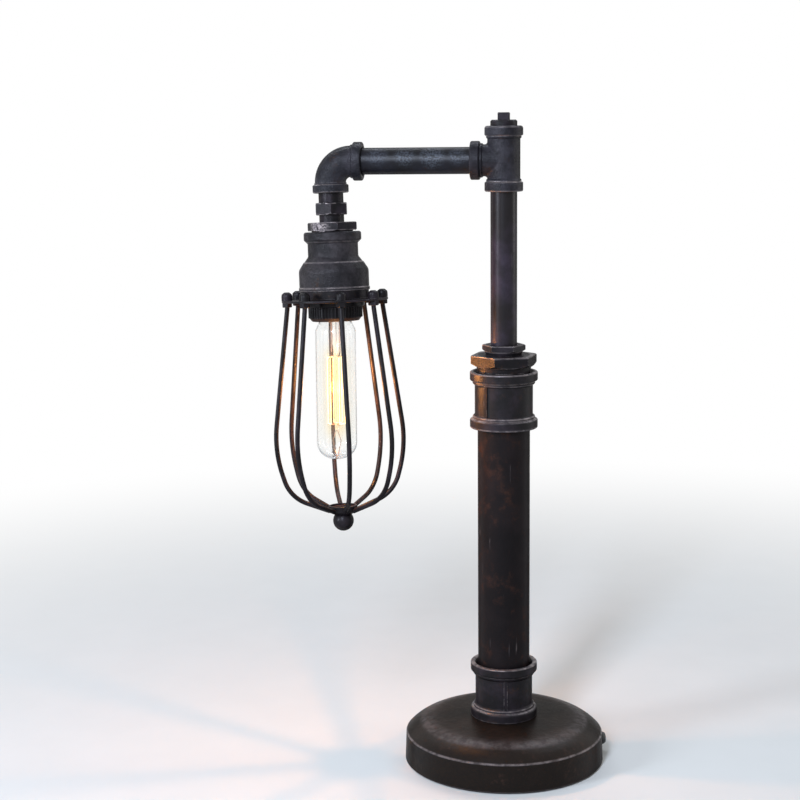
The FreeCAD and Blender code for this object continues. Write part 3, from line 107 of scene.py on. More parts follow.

# Rims of bare metal, partly wear and partly a painted highlight on the rounded rims: how far along the
# piece's line, the least radius, the width and the strength
# The base's third rim, on the dome's shoulder, is only a painted highlight ring
BASE_RIMS = ((0.0241, 0.0798, 0.0011, 0.62), (0.0014, 0.0805, 0.0010, 0.2), (0.0341, 0.050, 0.0024, 0.2))
LOWER_SOCKET_RIMS = (
    (0.0833, 0.0236, 0.0010, 0.75), (0.0455, 0.0249, 0.0010, 0.68), (0.0474, 0.0243, 0.0008, 0.52),
    (0.0382, 0.0265, 0.0010, 0.38), (0.0758, 0.0249, 0.0008, 0.45),
)
UPPER_SOCKET_RIMS = (
    (0.2879, 0.0249, 0.0012, 0.75), (0.2899, 0.0240, 0.0010, 0.68), (0.2810, 0.0265, 0.0012, 0.60),
    (0.3186, 0.0249, 0.0010, 0.60), (0.3164, 0.0240, 0.0008, 0.45), (0.3258, 0.0250, 0.0012, 0.68),
)
BIG_BUSHING_RIMS = ((0.3391, 0.0210, 0.0010, 0.52), (0.3306, 0.0226, 0.0010, 0.45))
BACKNUT_RIMS = ((0.3424, 0.0146, 0.0008, 0.60), (0.3475, 0.0145, 0.0008, 0.52))
TEE_RIMS = (
    (0.4776, 0.0135, 0.0010, 0.85), (0.4702, 0.0145, 0.0010, 0.6), (0.5135, 0.0135, 0.0008, 0.7),
    (0.5203, 0.0140, 0.0010, 0.45),
)
ELBOW_RIMS = ((0.0183, 0.0132, 0.0010, 0.9), (0.0248, 0.0138, 0.0010, 0.75))
NIPPLE_RIMS = ((0.0334, 0.0125, 0.0008, 0.60), (0.0421, 0.0125, 0.0008, 0.60))
HEAD_BUSHING_RIMS = ((0.0486, 0.0175, 0.0008, 0.52), (0.0548, 0.0175, 0.0008, 0.52))
BELL_RIMS = (
    (0.0802, 0.0233, 0.0010, 0.68), (0.1005, 0.0279, 0.0010, 0.68), (0.1028, 0.0279, 0.0008, 0.68),
    (0.0640, 0.0205, 0.0010, 0.30),
)

# Bright mottled patches of bare metal: the centre, the reach and the strength
# The arm's patches are painted highlight along its lit upper front
ARM_PAINTED_HIGHLIGHTS = (
    ((-0.1, -0.0092, 0.4995), 0.011, 0.1), ((-0.078, -0.0094, 0.4988), 0.011, 0.13),
    ((-0.056, -0.0094, 0.4988), 0.013, 0.15), ((-0.036, -0.0094, 0.4988), 0.01, 0.1),
)
HEAD_BUSHING_BRIGHT_PATCH = (((-0.1480, -0.0195, 0.4430), 0.014, 0.9),)
BELL_BRIGHT_PATCH = (((-0.1479, -0.0235, 0.4060), 0.013, 0.1),)

# Finish measures
BUMP_DEPTH = 0.0004
BARE_ROUGHNESS = 0.34
BLACK_METALLIC = 0.04
BARE_METALLIC = 0.9
DULL_SHARE = 0.75
MOULDED_SPECK = 0.003
FINE_BUMP_DEPTH = 0.0001
NAP_DEPTH = 0.0006
GLASS_IOR = 1.45
MOUNT_IOR = 1.47
# Where the painted glow sits down the bulb's line, in the bulb glass and in the mount glass, and how far it
# reaches
GLASS_PAINTED_GLOW_DEPTH = 0.186
GLASS_PAINTED_GLOW_HALF = 0.046
MOUNT_PAINTED_GLOW_DEPTH = 0.18
MOUNT_PAINTED_GLOW_HALF = 0.05

# The studio
FLOOR_RADIUS = 6.0
FLOOR_CORNERS = 96
FLOOR_TONES = ((0.62, 0.625, 0.605), (0.66, 0.665, 0.645))
FLOOR_WHITE_FROM = 0.3
FLOOR_WHITE_AT = 1.3
EVEN_LIGHT = 0.22
# Each lamp's name, place, the point it is turned at, width, height, power and tone
SOFT_LAMPS = (
    ("left_box", (-1.3, -1.05, 0.62), (-0.05, 0.0, 0.42), 0.3, 0.5, 19.0, (0.80, 0.88, 1.0)),
    ("right_box", (1.35, 0.3, 0.6), (0.0, 0.0, 0.42), 0.2, 0.6, 4.0, (1.0, 0.98, 0.96)),
    ("front_high", (-0.3, -1.5, 1.15), (-0.05, 0.0, 0.42), 0.26, 0.95, 34.0, (0.74, 0.83, 1.0)),
    ("overhead", (-0.05, 0.85, 1.45), (-0.02, 0.0, 0.1), 1.9, 0.12, 12.0, (0.84, 0.9, 1.0)),
)
BULB_LIGHT_POWER = 1.7
BULB_LIGHT_TONE = (1.0, 0.38, 0.10)
BULB_LIGHT_RADIUS = 0.006

# The camera
CAMERA_PLACE = (0.10101, -1.32180, 0.519)
CAMERA_TURN = 8.0
CAMERA_TILT = 80.737
CAMERA_ROLL = -0.585
CAMERA_LENS = 74.61


# Node helpers


def feed(tree, value, socket):
    """Link a socket, or set a plain value on it."""
    if isinstance(value, bpy.types.NodeSocket):
        tree.links.new(value, socket)
    elif socket.type == "RGBA" and len(value) == 3:
        socket.default_value = (*value, 1.0)
    else:
        socket.default_value = value


def add(tree, kind, inputs=None, **settings):
    """A node with its settings and inputs."""
    made = tree.nodes.new(kind)
    for name, value in settings.items():
        setattr(made, name, value)
    for name, value in (inputs or {}).items():
        feed(tree, value, made.inputs[name])
    return made


def maths(tree, operation, *values, clamp=False):
    """A Math node's result."""
    made = add(tree, "ShaderNodeMath", operation=operation, use_clamp=clamp)
    for place, value in enumerate(values):
        feed(tree, value, made.inputs[place])
    return made.outputs[0]


def vector_maths(tree, operation, *values, out=0):
    """A Vector Math node's result."""
    made = add(tree, "ShaderNodeVectorMath", operation=operation)
    for place, value in enumerate(values):
        feed(tree, value, made.inputs[place])
    return made.outputs[out]


def scaled(tree, vector, length):
    """A vector made longer or shorter."""
    return add(tree, "ShaderNodeVectorMath", {0: vector, "Scale": length}, operation="SCALE").outputs[0]


def ramp(tree, value, low, high, to_low=0.0, to_high=1.0):
    """A value run smoothly from one range into another."""
    made = add(tree, "ShaderNodeMapRange", interpolation_type="SMOOTHSTEP")
    for place, item in enumerate((value, low, high, to_low, to_high)):
        feed(tree, item, made.inputs[place])
    return made.outputs[0]


def blend(tree, share, first, second):
    """Two colours mixed by a mask."""
    made = add(tree, "ShaderNodeMix", data_type="RGBA")
    feed(tree, share, made.inputs[0])
    feed(tree, first, made.inputs[6])
    feed(tree, second, made.inputs[7])
    return made.outputs[2]


def noise(tree, place, size, detail=4.0, roughness=0.55):
    """Noise whose features are about size metres."""
    made = add(tree, "ShaderNodeTexNoise", {"Vector": place, "Detail": detail, "Roughness": roughness})
    feed(tree, maths(tree, "DIVIDE", 1.0, size), made.inputs["Scale"])
    return made.outputs[0]


def shader_group(name, inputs, outputs):
    """An empty shader group with named inputs and outputs."""
    tree = bpy.data.node_groups.new(name, "ShaderNodeTree")
    for title, kind, value in inputs:
        made = tree.interface.new_socket(title, in_out="INPUT", socket_type="NodeSocket" + kind)
        if value is not None:
            made.default_value = (*value, 1.0) if kind == "Color" else value
    for title, kind in outputs:
        tree.interface.new_socket(title, in_out="OUTPUT", socket_type="NodeSocket" + kind)
    return tree, tree.nodes.new("NodeGroupInput").outputs, tree.nodes.new("NodeGroupOutput").inputs


def placed(tree, group, **values):
    """A shader group placed in a material, with its own values."""
    made = add(tree, "ShaderNodeGroup", node_tree=group)
    for name, value in values.items():
        feed(tree, value, made.inputs[name.replace("_", " ")])
    return made.outputs


# Shared effects


def turning_place_group():
    """How far a point is along a line and how far out from it."""
    tree, given, result = shader_group(
        "turning_place",
        [("Vector", "Vector", None), ("Centre", "Vector", None), ("Way", "Vector", None)],
        [("Along", "Float"), ("Out", "Float")],
    )
    arm = vector_maths(tree, "SUBTRACT", given["Vector"], given["Centre"])
    along = vector_maths(tree, "DOT_PRODUCT", arm, given["Way"], out=1)
    out = vector_maths(tree, "SUBTRACT", arm, scaled(tree, given["Way"], along))
    tree.links.new(along, result["Along"])
    tree.links.new(vector_maths(tree, "LENGTH", out, out=1), result["Out"])
    return tree


def rim_line_group():
    """A fine broken line of bare metal round a rim, partly wear and partly a painted highlight on the rounded
    rim.
    """
    tree, given, result = shader_group(
        "rim_line",
        [
            ("Vector", "Vector", None), ("Along", "Float", 0.0), ("Out", "Float", 0.0),
            ("Line", "Float", 0.0), ("Least Out", "Float", 0.0), ("Width", "Float", 0.0006),
            ("Break Size", "Float", 0.006), ("Strength", "Float", 1.0),
        ],
        [("Mask", "Float")],
    )
    away = maths(tree, "ABSOLUTE", maths(tree, "SUBTRACT", given["Along"], given["Line"]))
    on_line = ramp(tree, away, maths(tree, "MULTIPLY", given["Width"], 0.2), given["Width"], 1.0, 0.0)
    proud = maths(tree, "GREATER_THAN", given["Out"], given["Least Out"])
    whole = ramp(tree, noise(tree, given["Vector"], given["Break Size"], 5.0, 0.65), 0.36, 0.62, 0.28, 1.0)
    mask = maths(tree, "MULTIPLY", maths(tree, "MULTIPLY", on_line, proud), whole)
    tree.links.new(maths(tree, "MULTIPLY", mask, given["Strength"], clamp=True), result["Mask"])
    return tree


def worn_edge_group():
    """Outside corners where the black has gone through to the metal, in broken patches."""
    tree, given, result = shader_group(
        "worn_edge",
        [
            ("Vector", "Vector", None), ("Reach", "Float", 0.0009), ("Break Size", "Float", 0.005),
            ("Amount", "Float", 1.0),
        ],
        [("Mask", "Float")],
    )
    inside = add(tree, "ShaderNodeAmbientOcclusion", {"Distance": given["Reach"]},
                 inside=True, only_local=True, samples=8)
    corner = ramp(tree, inside.outputs["AO"], 0.45, 0.86, 1.0, 0.0)
    patches = ramp(tree, noise(tree, given["Vector"], given["Break Size"], 5.0, 0.7), 0.42, 0.62)
    mask = maths(tree, "MULTIPLY", corner, patches)
    tree.links.new(maths(tree, "MULTIPLY", mask, given["Amount"], clamp=True), result["Mask"])
    return tree


def patina_group():
    """Blackened metal with a plum haze and rust that comes through in patches and specks."""
    tree, given, result = shader_group(
        "patina",
        [
            ("Vector", "Vector", None), ("Black", "Color", IRON_BLACK), ("Haze", "Color", PLUM_HAZE),
            ("Rust", "Color", RUST_BROWN), ("Rust Share", "Float", 0.4), ("Patch Size", "Float", 0.03),
            ("Speck Size", "Float", 0.004), ("Grain Size", "Float", 0.0008), ("Smooth", "Float", 0.38),
            ("Rough", "Float", 0.62),
        ],
        [("Color", "Color"), ("Roughness", "Float"), ("Height", "Float"), ("Rust", "Float")],
    )
    place = given["Vector"]
    patches = noise(tree, place, given["Patch Size"], 5.0, 0.6)
    specks = noise(tree, place, given["Speck Size"], 5.0, 0.7)
    grain = noise(tree, place, given["Grain Size"], 2.0, 0.6)
    elsewhere = vector_maths(tree, "ADD", place, (0.37, 0.11, 0.23))
    haze = ramp(tree, noise(tree, elsewhere, given["Patch Size"], 3.0), 0.4, 0.68)
    both = maths(tree, "ADD", maths(tree, "MULTIPLY", patches, 0.5), maths(tree, "MULTIPLY", specks, 0.5))
    start = maths(tree, "SUBTRACT", 0.66, maths(tree, "MULTIPLY", given["Rust Share"], 0.26))
    rust = ramp(tree, both, start, maths(tree, "ADD", start, 0.2))
    ground = blend(tree, haze, given["Black"], given["Haze"])
    mottled = blend(tree, ramp(tree, specks, 0.35, 0.7, 0.0, 0.45), ground, DEEP_PORE)
    tree.links.new(blend(tree, rust, mottled, given["Rust"]), result["Color"])
    from_specks, from_rust = maths(tree, "MULTIPLY", specks, 0.6), maths(tree, "MULTIPLY", rust, 0.45)
    dullness = maths(tree, "ADD", from_specks, from_rust, clamp=True)
    tree.links.new(ramp(tree, dullness, 0.15, 0.8, given["Smooth"], given["Rough"]), result["Roughness"])
    tree.links.new(maths(tree, "ADD", maths(tree, "MULTIPLY", grain, 0.6), specks), result["Height"])
    tree.links.new(rust, result["Rust"])
    return tree


def scratch_group():
    """Fine drag marks that run mostly one way."""
    tree, given, result = shader_group(
        "scratches",
        [("Vector", "Vector", None), ("Stretch", "Vector", None), ("Amount", "Float", 0.5)],
        [("Mask", "Float")],
    )
    pulled = vector_maths(tree, "MULTIPLY", given["Vector"], given["Stretch"])
    fine = noise(tree, pulled, 1.0, 3.0, 0.5)
    where = ramp(tree, noise(tree, given["Vector"], 0.02, 3.0), 0.45, 0.65)
    mask = maths(tree, "MULTIPLY", ramp(tree, fine, 0.64, 0.72), where)
    tree.links.new(maths(tree, "MULTIPLY", mask, given["Amount"], clamp=True), result["Mask"])
    return tree


def mottled_patch_group():
    """A mottled patch of bright bare metal round a point on a face."""
    tree, given, result = shader_group(
        "mottled_patch",
        [
            ("Vector", "Vector", None), ("Centre", "Vector", None), ("Reach", "Float", 0.01),
            ("Mottle", "Float", 0.0015), ("Strength", "Float", 1.0),
        ],
        [("Mask", "Float")],
    )
    away = vector_maths(tree, "DISTANCE", given["Vector"], given["Centre"], out=1)
    near = ramp(tree, away, maths(tree, "MULTIPLY", given["Reach"], 0.35), given["Reach"], 1.0, 0.0)
    mottle = ramp(tree, noise(tree, given["Vector"], given["Mottle"], 5.0, 0.7), 0.4, 0.62)
    mask = maths(tree, "MULTIPLY", near, mottle)
    tree.links.new(maths(tree, "MULTIPLY", mask, given["Strength"], clamp=True), result["Mask"])
    return tree


def painted_glow_reach_group():
    """How much of the filament's painted glow a height of the bulb gets."""
    tree, given, result = shader_group(
        "painted_glow_reach",
        [("Along", "Float", 0.0), ("Middle", "Float", 0.19), ("Half Length", "Float", 0.03)],
        [("Share", "Float")],
    )
    away = maths(tree, "ABSOLUTE", maths(tree, "SUBTRACT", given["Along"], given["Middle"]))
    half = maths(tree, "MULTIPLY", given["Half Length"], 0.5)
    tree.links.new(ramp(tree, away, half, given["Half Length"], 1.0, 0.0), result["Share"])
    return tree


TURNING_PLACE = turning_place_group()
RIM_LINE = rim_line_group()
WORN_EDGE = worn_edge_group()
PATINA = patina_group()
SCRATCHES = scratch_group()
MOTTLED_PATCH = mottled_patch_group()
PAINTED_GLOW_REACH = painted_glow_reach_group()


# Finishes


def new_finish(name):
    """A material, its tree, its shader and the place of each point."""
    finish = bpy.data.materials.new(name)
    finish.use_nodes = True
    tree = finish.node_tree
    shader = tree.nodes["Principled BSDF"]
    place = tree.nodes.new("ShaderNodeTexCoord").outputs["Object"]
    return finish, tree, shader, place


def roughened(tree, shader, height, strength, depth):
    """Give a shader a bump from a height."""
    bump = add(tree, "ShaderNodeBump", {"Height": height, "Strength": strength, "Distance": depth})
    tree.links.new(bump.outputs[0], shader.inputs["Normal"])


def blackened(name, line, rims=(), bright_patches=(), black=IRON_BLACK, haze=PLUM_HAZE, rust=RUST_BROWN,
              rust_share=0.4, patch=0.03, speck=0.004, grain=0.0008, bump=0.35, smooth=0.36, rough=0.6,
              edge=0.8, edge_reach=0.0009, stretch=None, scratches=0.0, wear_and_highlight=WEAR_AND_HIGHLIGHT_METAL, sheen=0.1):
    """Blackened iron or steel.

    rims are (along, least radius, width, strength); the bright patches are (centre, reach, strength).
    """
    finish, tree, shader, place = new_finish(name)
    skin = placed(tree, PATINA, Vector=place, Black=black, Haze=haze, Rust=rust, Rust_Share=rust_share,
                  Patch_Size=patch, Speck_Size=speck, Grain_Size=grain, Smooth=smooth, Rough=rough)
    bare = placed(tree, WORN_EDGE, Vector=place, Reach=edge_reach, Amount=edge)["Mask"]
    where = placed(tree, TURNING_PLACE, Vector=place, Centre=line[0], Way=line[1])
    for along, least, width, strength in rims:
        rim = placed(tree, RIM_LINE, Vector=place, Along=where["Along"], Out=where["Out"], Line=along,
                     Least_Out=least, Width=width, Strength=strength)["Mask"]
        bare = maths(tree, "MAXIMUM", bare, rim)
    for centre, reach, strength in bright_patches:
        bright_spot = placed(tree, MOTTLED_PATCH, Vector=place, Centre=centre, Reach=reach, Strength=strength)["Mask"]
        bare = maths(tree, "MAXIMUM", bare, bright_spot)
    if stretch:
        marks = placed(tree, SCRATCHES, Vector=place, Stretch=stretch, Amount=scratches)["Mask"]
        bare = maths(tree, "MAXIMUM", bare, marks)
    # Bare metal for wear, and painted highlight on rims and the arm's patches
    feed(tree, blend(tree, bare, skin["Color"], wear_and_highlight), shader.inputs["Base Color"])
    feed(tree, ramp(tree, bare, 0.0, 1.0, skin["Roughness"], BARE_ROUGHNESS), shader.inputs["Roughness"])
    feed(tree, ramp(tree, bare, 0.0, 1.0, BLACK_METALLIC, BARE_METALLIC), shader.inputs["Metallic"])
    turned_away = add(tree, "ShaderNodeLayerWeight", {"Blend": 0.5}).outputs["Facing"]
    feed(tree, ramp(tree, turned_away, 0.4, 0.68, sheen, 0.1 * sheen), shader.inputs["Specular IOR Level"])
    roughened(tree, shader, skin["Height"], bump, BUMP_DEPTH)
    return finish


def plain_metal(name, tone, roughness, patch=0.004):
    """Plated or drawn metal with a slight unevenness."""
    finish, tree, shader, place = new_finish(name)
    cloud = noise(tree, place, patch, 4.0)
    dull = tuple(DULL_SHARE * c for c in tone)
    feed(tree, blend(tree, ramp(tree, cloud, 0.35, 0.7), tone, dull), shader.inputs["Base Color"])
    feed(tree, ramp(tree, cloud, 0.3, 0.7, roughness, roughness + 0.15), shader.inputs["Roughness"])
    shader.inputs["Metallic"].default_value = 1.0
    roughened(tree, shader, noise(tree, place, patch / 5.0, 2.0), 0.15, FINE_BUMP_DEPTH)
    return finish


def moulded(name, tone, roughness, shade=0.8):
    """Ceramic, phenolic, rubber or felt: a body colour with fine specks."""
    finish, tree, shader, place = new_finish(name)
    specks = noise(tree, place, MOULDED_SPECK, 4.0, 0.7)
    deep = tuple(shade * c for c in tone)
    feed(tree, blend(tree, ramp(tree, specks, 0.35, 0.7), tone, deep), shader.inputs["Base Color"])
    rougher = min(1.0, roughness + 0.12)
    feed(tree, ramp(tree, specks, 0.3, 0.7, roughness, rougher), shader.inputs["Roughness"])
    roughened(tree, shader, specks, 0.2, FINE_BUMP_DEPTH)
    return finish


def let_lamps_through(finish, tree, shader):
    """Mix in clearness for rays that go to a lamp, so that the glass throws no solid shadow."""
    path = add(tree, "ShaderNodeLightPath")
    open_way = add(tree, "ShaderNodeBsdfTransparent")
    mixed = add(tree, "ShaderNodeMixShader")
    to_lamps = maths(tree, "MAXIMUM", path.outputs["Is Shadow Ray"], path.outputs["Is Diffuse Ray"])
    feed(tree, to_lamps, mixed.inputs[0])
    tree.links.new(shader.outputs[0], mixed.inputs[1])
    tree.links.new(open_way.outputs[0], mixed.inputs[2])
    tree.links.new(mixed.outputs[0], tree.nodes["Material Output"].inputs["Surface"])
    return finish


def bulb_glass_finish():
    """Clear soda glass with faint drawing lines, a painted warm glow where the filament lies behind it, and
    painted shade at its turned-away edges.
    """
    finish, tree, shader, place = new_finish("clear_bulb_glass")
    shader.inputs["Transmission Weight"].default_value = 1.0
    shader.inputs["IOR"].default_value = GLASS_IOR
    smear = noise(tree, vector_maths(tree, "MULTIPLY", place, (1.0, 1.0, 0.12)), 0.002, 3.0)
    feed(tree, ramp(tree, smear, 0.4, 0.7, 0.02, 0.07), shader.inputs["Roughness"])
    where = placed(tree, TURNING_PLACE, Vector=place, Centre=HEAD_LINE[0], Way=HEAD_LINE[1])
    glow = placed(tree, PAINTED_GLOW_REACH, Along=where["Along"], Middle=GLASS_PAINTED_GLOW_DEPTH,
                  Half_Length=GLASS_PAINTED_GLOW_HALF)["Share"]
    turned_away = add(tree, "ShaderNodeLayerWeight", {"Blend": 0.5}).outputs["Facing"]
    # Painted glow: a warm band over the filament, strongest where the glass faces the viewer
    painted_glow_column = maths(tree, "MULTIPLY", glow, ramp(tree, turned_away, 0.015, 0.17, 1.0, 0.12))
    # Painted shade: the glass greyer where it turns away
    clear = blend(tree, ramp(tree, turned_away, 0.45, 0.9), CLEAR_GLASS, GLASS_PAINTED_EDGE_SHADE)
    feed(tree, blend(tree, painted_glow_column, clear, GLASS_PAINTED_GLOW_TONE), shader.inputs["Base Color"])
    return let_lamps_through(finish, tree, shader)


def mount_glass_finish():
    """The glass of the mount, with a painted warm glow where the filament's light runs down it."""
    finish, tree, shader, place = new_finish("mount_glass")
    shader.inputs["Base Color"].default_value = MOUNT_TONE
    shader.inputs["Transmission Weight"].default_value = 1.0
    shader.inputs["IOR"].default_value = MOUNT_IOR
    feed(tree, ramp(tree, noise(tree, place, 0.001, 2.0), 0.3, 0.7, 0.04, 0.12), shader.inputs["Roughness"])
    where = placed(tree, TURNING_PLACE, Vector=place, Centre=HEAD_LINE[0], Way=HEAD_LINE[1])
    glow = placed(tree, PAINTED_GLOW_REACH, Along=where["Along"], Middle=MOUNT_PAINTED_GLOW_DEPTH,
                  Half_Length=MOUNT_PAINTED_GLOW_HALF)["Share"]
    # Painted glow: emission in the mount glass near the filament
    feed(tree, blend(tree, glow, NO_LIGHT, MOUNT_PAINTED_GLOW_TONE), shader.inputs["Emission Color"])
    shader.inputs["Emission Strength"].default_value = MOUNT_PAINTED_GLOW_STRENGTH
    return let_lamps_through(finish, tree, shader)


def lit_filament_finish():
    """Carbon coil at full heat, a little brighter in some turns than in others."""
    finish, tree, shader, place = new_finish("lit_filament")
    heat = ramp(tree, noise(tree, place, 0.004, 3.0), 0.3, 0.7)
    glow = blend(tree, heat, FILAMENT_COOLER, FILAMENT_HOTTER)
    feed(tree, glow, shader.inputs["Base Color"])
    feed(tree, glow, shader.inputs["Emission Color"])
    shader.inputs["Emission Strength"].default_value = FILAMENT_STRENGTH
    return finish


def felt_finish():
    """Dark pressed felt with a short nap."""
    finish, tree, shader, place = new_finish("pressed_felt")
    fibres = noise(tree, vector_maths(tree, "MULTIPLY", place, (1.0, 1.0, 3.0)), 0.0008, 5.0, 0.8)
    clouds = noise(tree, place, 0.02, 3.0)
    tone = blend(tree, ramp(tree, fibres, 0.35, 0.7), FELT_DARK, FELT_LIGHT)
    clouded = blend(tree, ramp(tree, clouds, 0.4, 0.8, 0.0, 0.3), tone, FELT_CLOUD)
    feed(tree, clouded, shader.inputs["Base Color"])
    shader.inputs["Roughness"].default_value = 0.95
    shader.inputs["Sheen Weight"].default_value = 0.4
    shader.inputs["Specular IOR Level"].default_value = 0.1
    roughened(tree, shader, fibres, 0.9, NAP_DEPTH)
    return finish


def finish_in(material, *names):
    """Give CAD pieces a finish."""
    for name in names:
        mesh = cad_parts[name].data
        mesh.materials.clear()
        mesh.materials.append(material)


def finish_the_upright():
    """The base, the thick pipe between its sockets, and the big bushing."""
    finish_in(blackened(
        "base_iron", UPRIGHT, rims=BASE_RIMS, black=(0.0095, 0.0068, 0.0052), haze=(0.0165, 0.0113, 0.0086),
        rust_share=0.46, patch=0.05, speck=0.005, grain=0.0011, bump=0.5, smooth=0.3, rough=0.46, edge=0.25,
    ), "base_casting")
    finish_in(blackened(
        "lower_socket_iron", UPRIGHT, rims=LOWER_SOCKET_RIMS, rust_share=0.45, patch=0.02,
    ), "lower_socket")
    finish_in(blackened(
        "upper_socket_iron", UPRIGHT, rims=UPPER_SOCKET_RIMS, rust_share=0.5, patch=0.018, sheen=0.11,
    ), "upper_socket")
    finish_in(blackened(
        "big_bushing_iron", UPRIGHT, rims=BIG_BUSHING_RIMS, rust_share=0.55, patch=0.015, bump=0.6, edge=1.0,
        sheen=0.07,
    ), "reducing_bushing")
    finish_in(blackened(
        "thick_pipe_steel", UPRIGHT, black=(0.0072, 0.0058, 0.0062), haze=(0.0115, 0.0085, 0.0090),
        rust=(0.036, 0.0165, 0.0115), rust_share=0.56, patch=0.045, speck=0.009, grain=0.0016, rough=0.58,
        edge=0.4, stretch=(260.0, 260.0, 22.0), scratches=0.4, sheen=0.06,
    ), "lower_riser")


def finish_the_arm():
    """The thin riser with its locknut, the arm pipe, and the tee with its plug."""
    finish_in(blackened(
        "thin_pipe_steel", UPRIGHT, black=PIPE_BLACK, haze=(0.028, 0.021, 0.031), rust_share=0.42,
        speck=0.006, bump=0.22, smooth=0.3, rough=0.48, edge=0.5, stretch=(300.0, 300.0, 16.0),
        scratches=0.35, sheen=0.14,
    ), "upper_riser")
    finish_in(blackened(
        "arm_pipe_steel", ARM_LINE, bright_patches=ARM_PAINTED_HIGHLIGHTS, black=ARM_BLACK, haze=(0.010, 0.010, 0.014),
        rust_share=0.3, patch=0.022, speck=0.005, bump=0.5, smooth=0.29, rough=0.44, edge=0.6,
        stretch=(22.0, 300.0, 300.0), scratches=0.5, wear_and_highlight=SCRATCH_AND_HIGHLIGHT_STEEL, sheen=0.135,
    ), "arm_pipe")
    finish_in(blackened(
        "backnut_iron", UPRIGHT, rims=BACKNUT_RIMS, rust_share=0.45, patch=0.014, bump=0.6, edge=0.9,
    ), "backnut")
    finish_in(blackened(
        "tee_iron", UPRIGHT, rims=TEE_RIMS, black=(0.0105, 0.0098, 0.0125), haze=FITTING_HAZE,
        rust_share=0.45, patch=0.018, speck=0.0026, bump=1.0, smooth=0.26, rough=0.5, sheen=0.085,
    ), "tee")
    finish_in(blackened(
        "plug_iron", UPRIGHT, rust_share=0.35, patch=0.01, bump=0.6, sheen=0.09,
    ), "square_plug")


def finish_the_head():
    """The fittings from the elbow to the bell, then the cage and its ring."""
    finish_in(blackened(
        "elbow_iron", HEAD_LINE, rims=ELBOW_RIMS, black=(0.0125, 0.0125, 0.0155), haze=FITTING_HAZE,
        rust_share=0.36, patch=0.016, speck=0.0026, bump=1.0, smooth=0.26, rough=0.5, sheen=0.085,
    ), "elbow")
    finish_in(blackened(
        "nipple_iron", HEAD_LINE, rims=NIPPLE_RIMS, patch=0.01, bump=0.6, smooth=0.26, rough=0.5, edge=1.0,
        sheen=0.075,
    ), "hex_nipple")
    finish_in(blackened(
        "head_bushing_iron", HEAD_LINE, rims=HEAD_BUSHING_RIMS, bright_patches=HEAD_BUSHING_BRIGHT_PATCH,
        black=(0.012, 0.011, 0.013), rust_share=0.5, patch=0.01, bump=0.6, edge=1.0, sheen=0.075,
    ), "head_bushing")
    finish_in(blackened(
        "reducer_iron", HEAD_LINE, rims=BELL_RIMS, bright_patches=BELL_BRIGHT_PATCH, black=(0.0135, 0.0125, 0.0142),
        haze=(0.040, 0.035, 0.038), rust_share=0.42, patch=0.02, speck=0.0028, bump=1.0, smooth=0.27,
        rough=0.5, sheen=0.085,
    ), "bell_reducer")
    finish_in(blackened(
        "cage_paint", HEAD_LINE, black=(0.0075, 0.0066, 0.0075), rust_share=0.42, patch=0.02, bump=0.25,
        smooth=0.3, rough=0.5, edge=0.45, edge_reach=0.0005,
    ), "cage_gallery", "acorn_nuts", "cage_lower_nuts", "cage_hub", "finial",
        *["cage_wire_%d" % k for k in range(1, 9)])
    finish_in(blackened(
        "ring_black", HEAD_LINE, black=(0.006, 0.0055, 0.0065), haze=(0.009, 0.0085, 0.010),
        rust=(0.011, 0.009, 0.0085), rust_share=0.1, patch=0.02, bump=0.15, smooth=0.28, rough=0.42,
        edge=0.25,
    ), "shade_ring")


def finish_the_small_pieces():
    """The cover and its felt, the hardware, the lampholder, the leads and the bulb."""
    finish_in(moulded("gland_black", GLAND_BLACK, 0.45), "cord_gland")
    finish_in(blackened("cover_steel", UPRIGHT, rust_share=0.2, patch=0.04, bump=0.1), "bottom_cover")
    finish_in(plain_metal("bright_zinc", BARE_ZINC, 0.28), "cover_screws", "earth_screw", "base_nipple",
              "base_washer", "base_locknut", "gland_nut", "holder_tube", "holder_washer", "holder_locknut")
    finish_in(plain_metal("bare_brass", BARE_BRASS, 0.26), "screw_shell", "centre_contact",
              "terminal_screws", "bulb_cap", "bulb_button")
    finish_in(plain_metal("mount_wire", MOUNT_WIRE, 0.35, patch=0.002), "bulb_supports")
    finish_in(moulded("black_phenolic", PHENOLIC_BLACK, 0.35), "lampholder_cap", "lampholder_skirt")
    finish_in(moulded("white_ceramic", CERAMIC_WHITE, 0.2, shade=0.92), "lampholder_insulator")
    finish_in(moulded("dark_glass", CAP_GLASS, 0.1), "bulb_insulator")
    finish_in(moulded("lead_sheath", SHEATH_BLACK, 0.6), "base_lead", "arm_lead", "head_lead")
    finish_in(felt_finish(), "felt_pad")
    finish_in(bulb_glass_finish(), "bulb_glass")
    finish_in(mount_glass_finish(), "bulb_stem")


# Added pieces


def head_matrix(lean_extra=0.0):
    """The place of a piece that is drawn about the elbow's centre, with its depth down -Z."""
    leaning = Matrix.Rotation(math.radians(HEAD_LEAN[0]), 4, "Y")
    forward = Matrix.Rotation(math.radians(HEAD_LEAN[1]), 4, "X")
    in_cap = Matrix.Identity(4)
    if lean_extra:
        hinge = Vector((0.0, 0.0, -GLASS_HINGE_DEPTH))
        leant = Matrix.Rotation(math.radians(lean_extra), 4, "Y")
        in_cap = Matrix.Translation(hinge) @ leant @ Matrix.Translation(-hinge)
    return Matrix.Translation(ELBOW_CENTRE) @ forward @ leaning @ in_cap


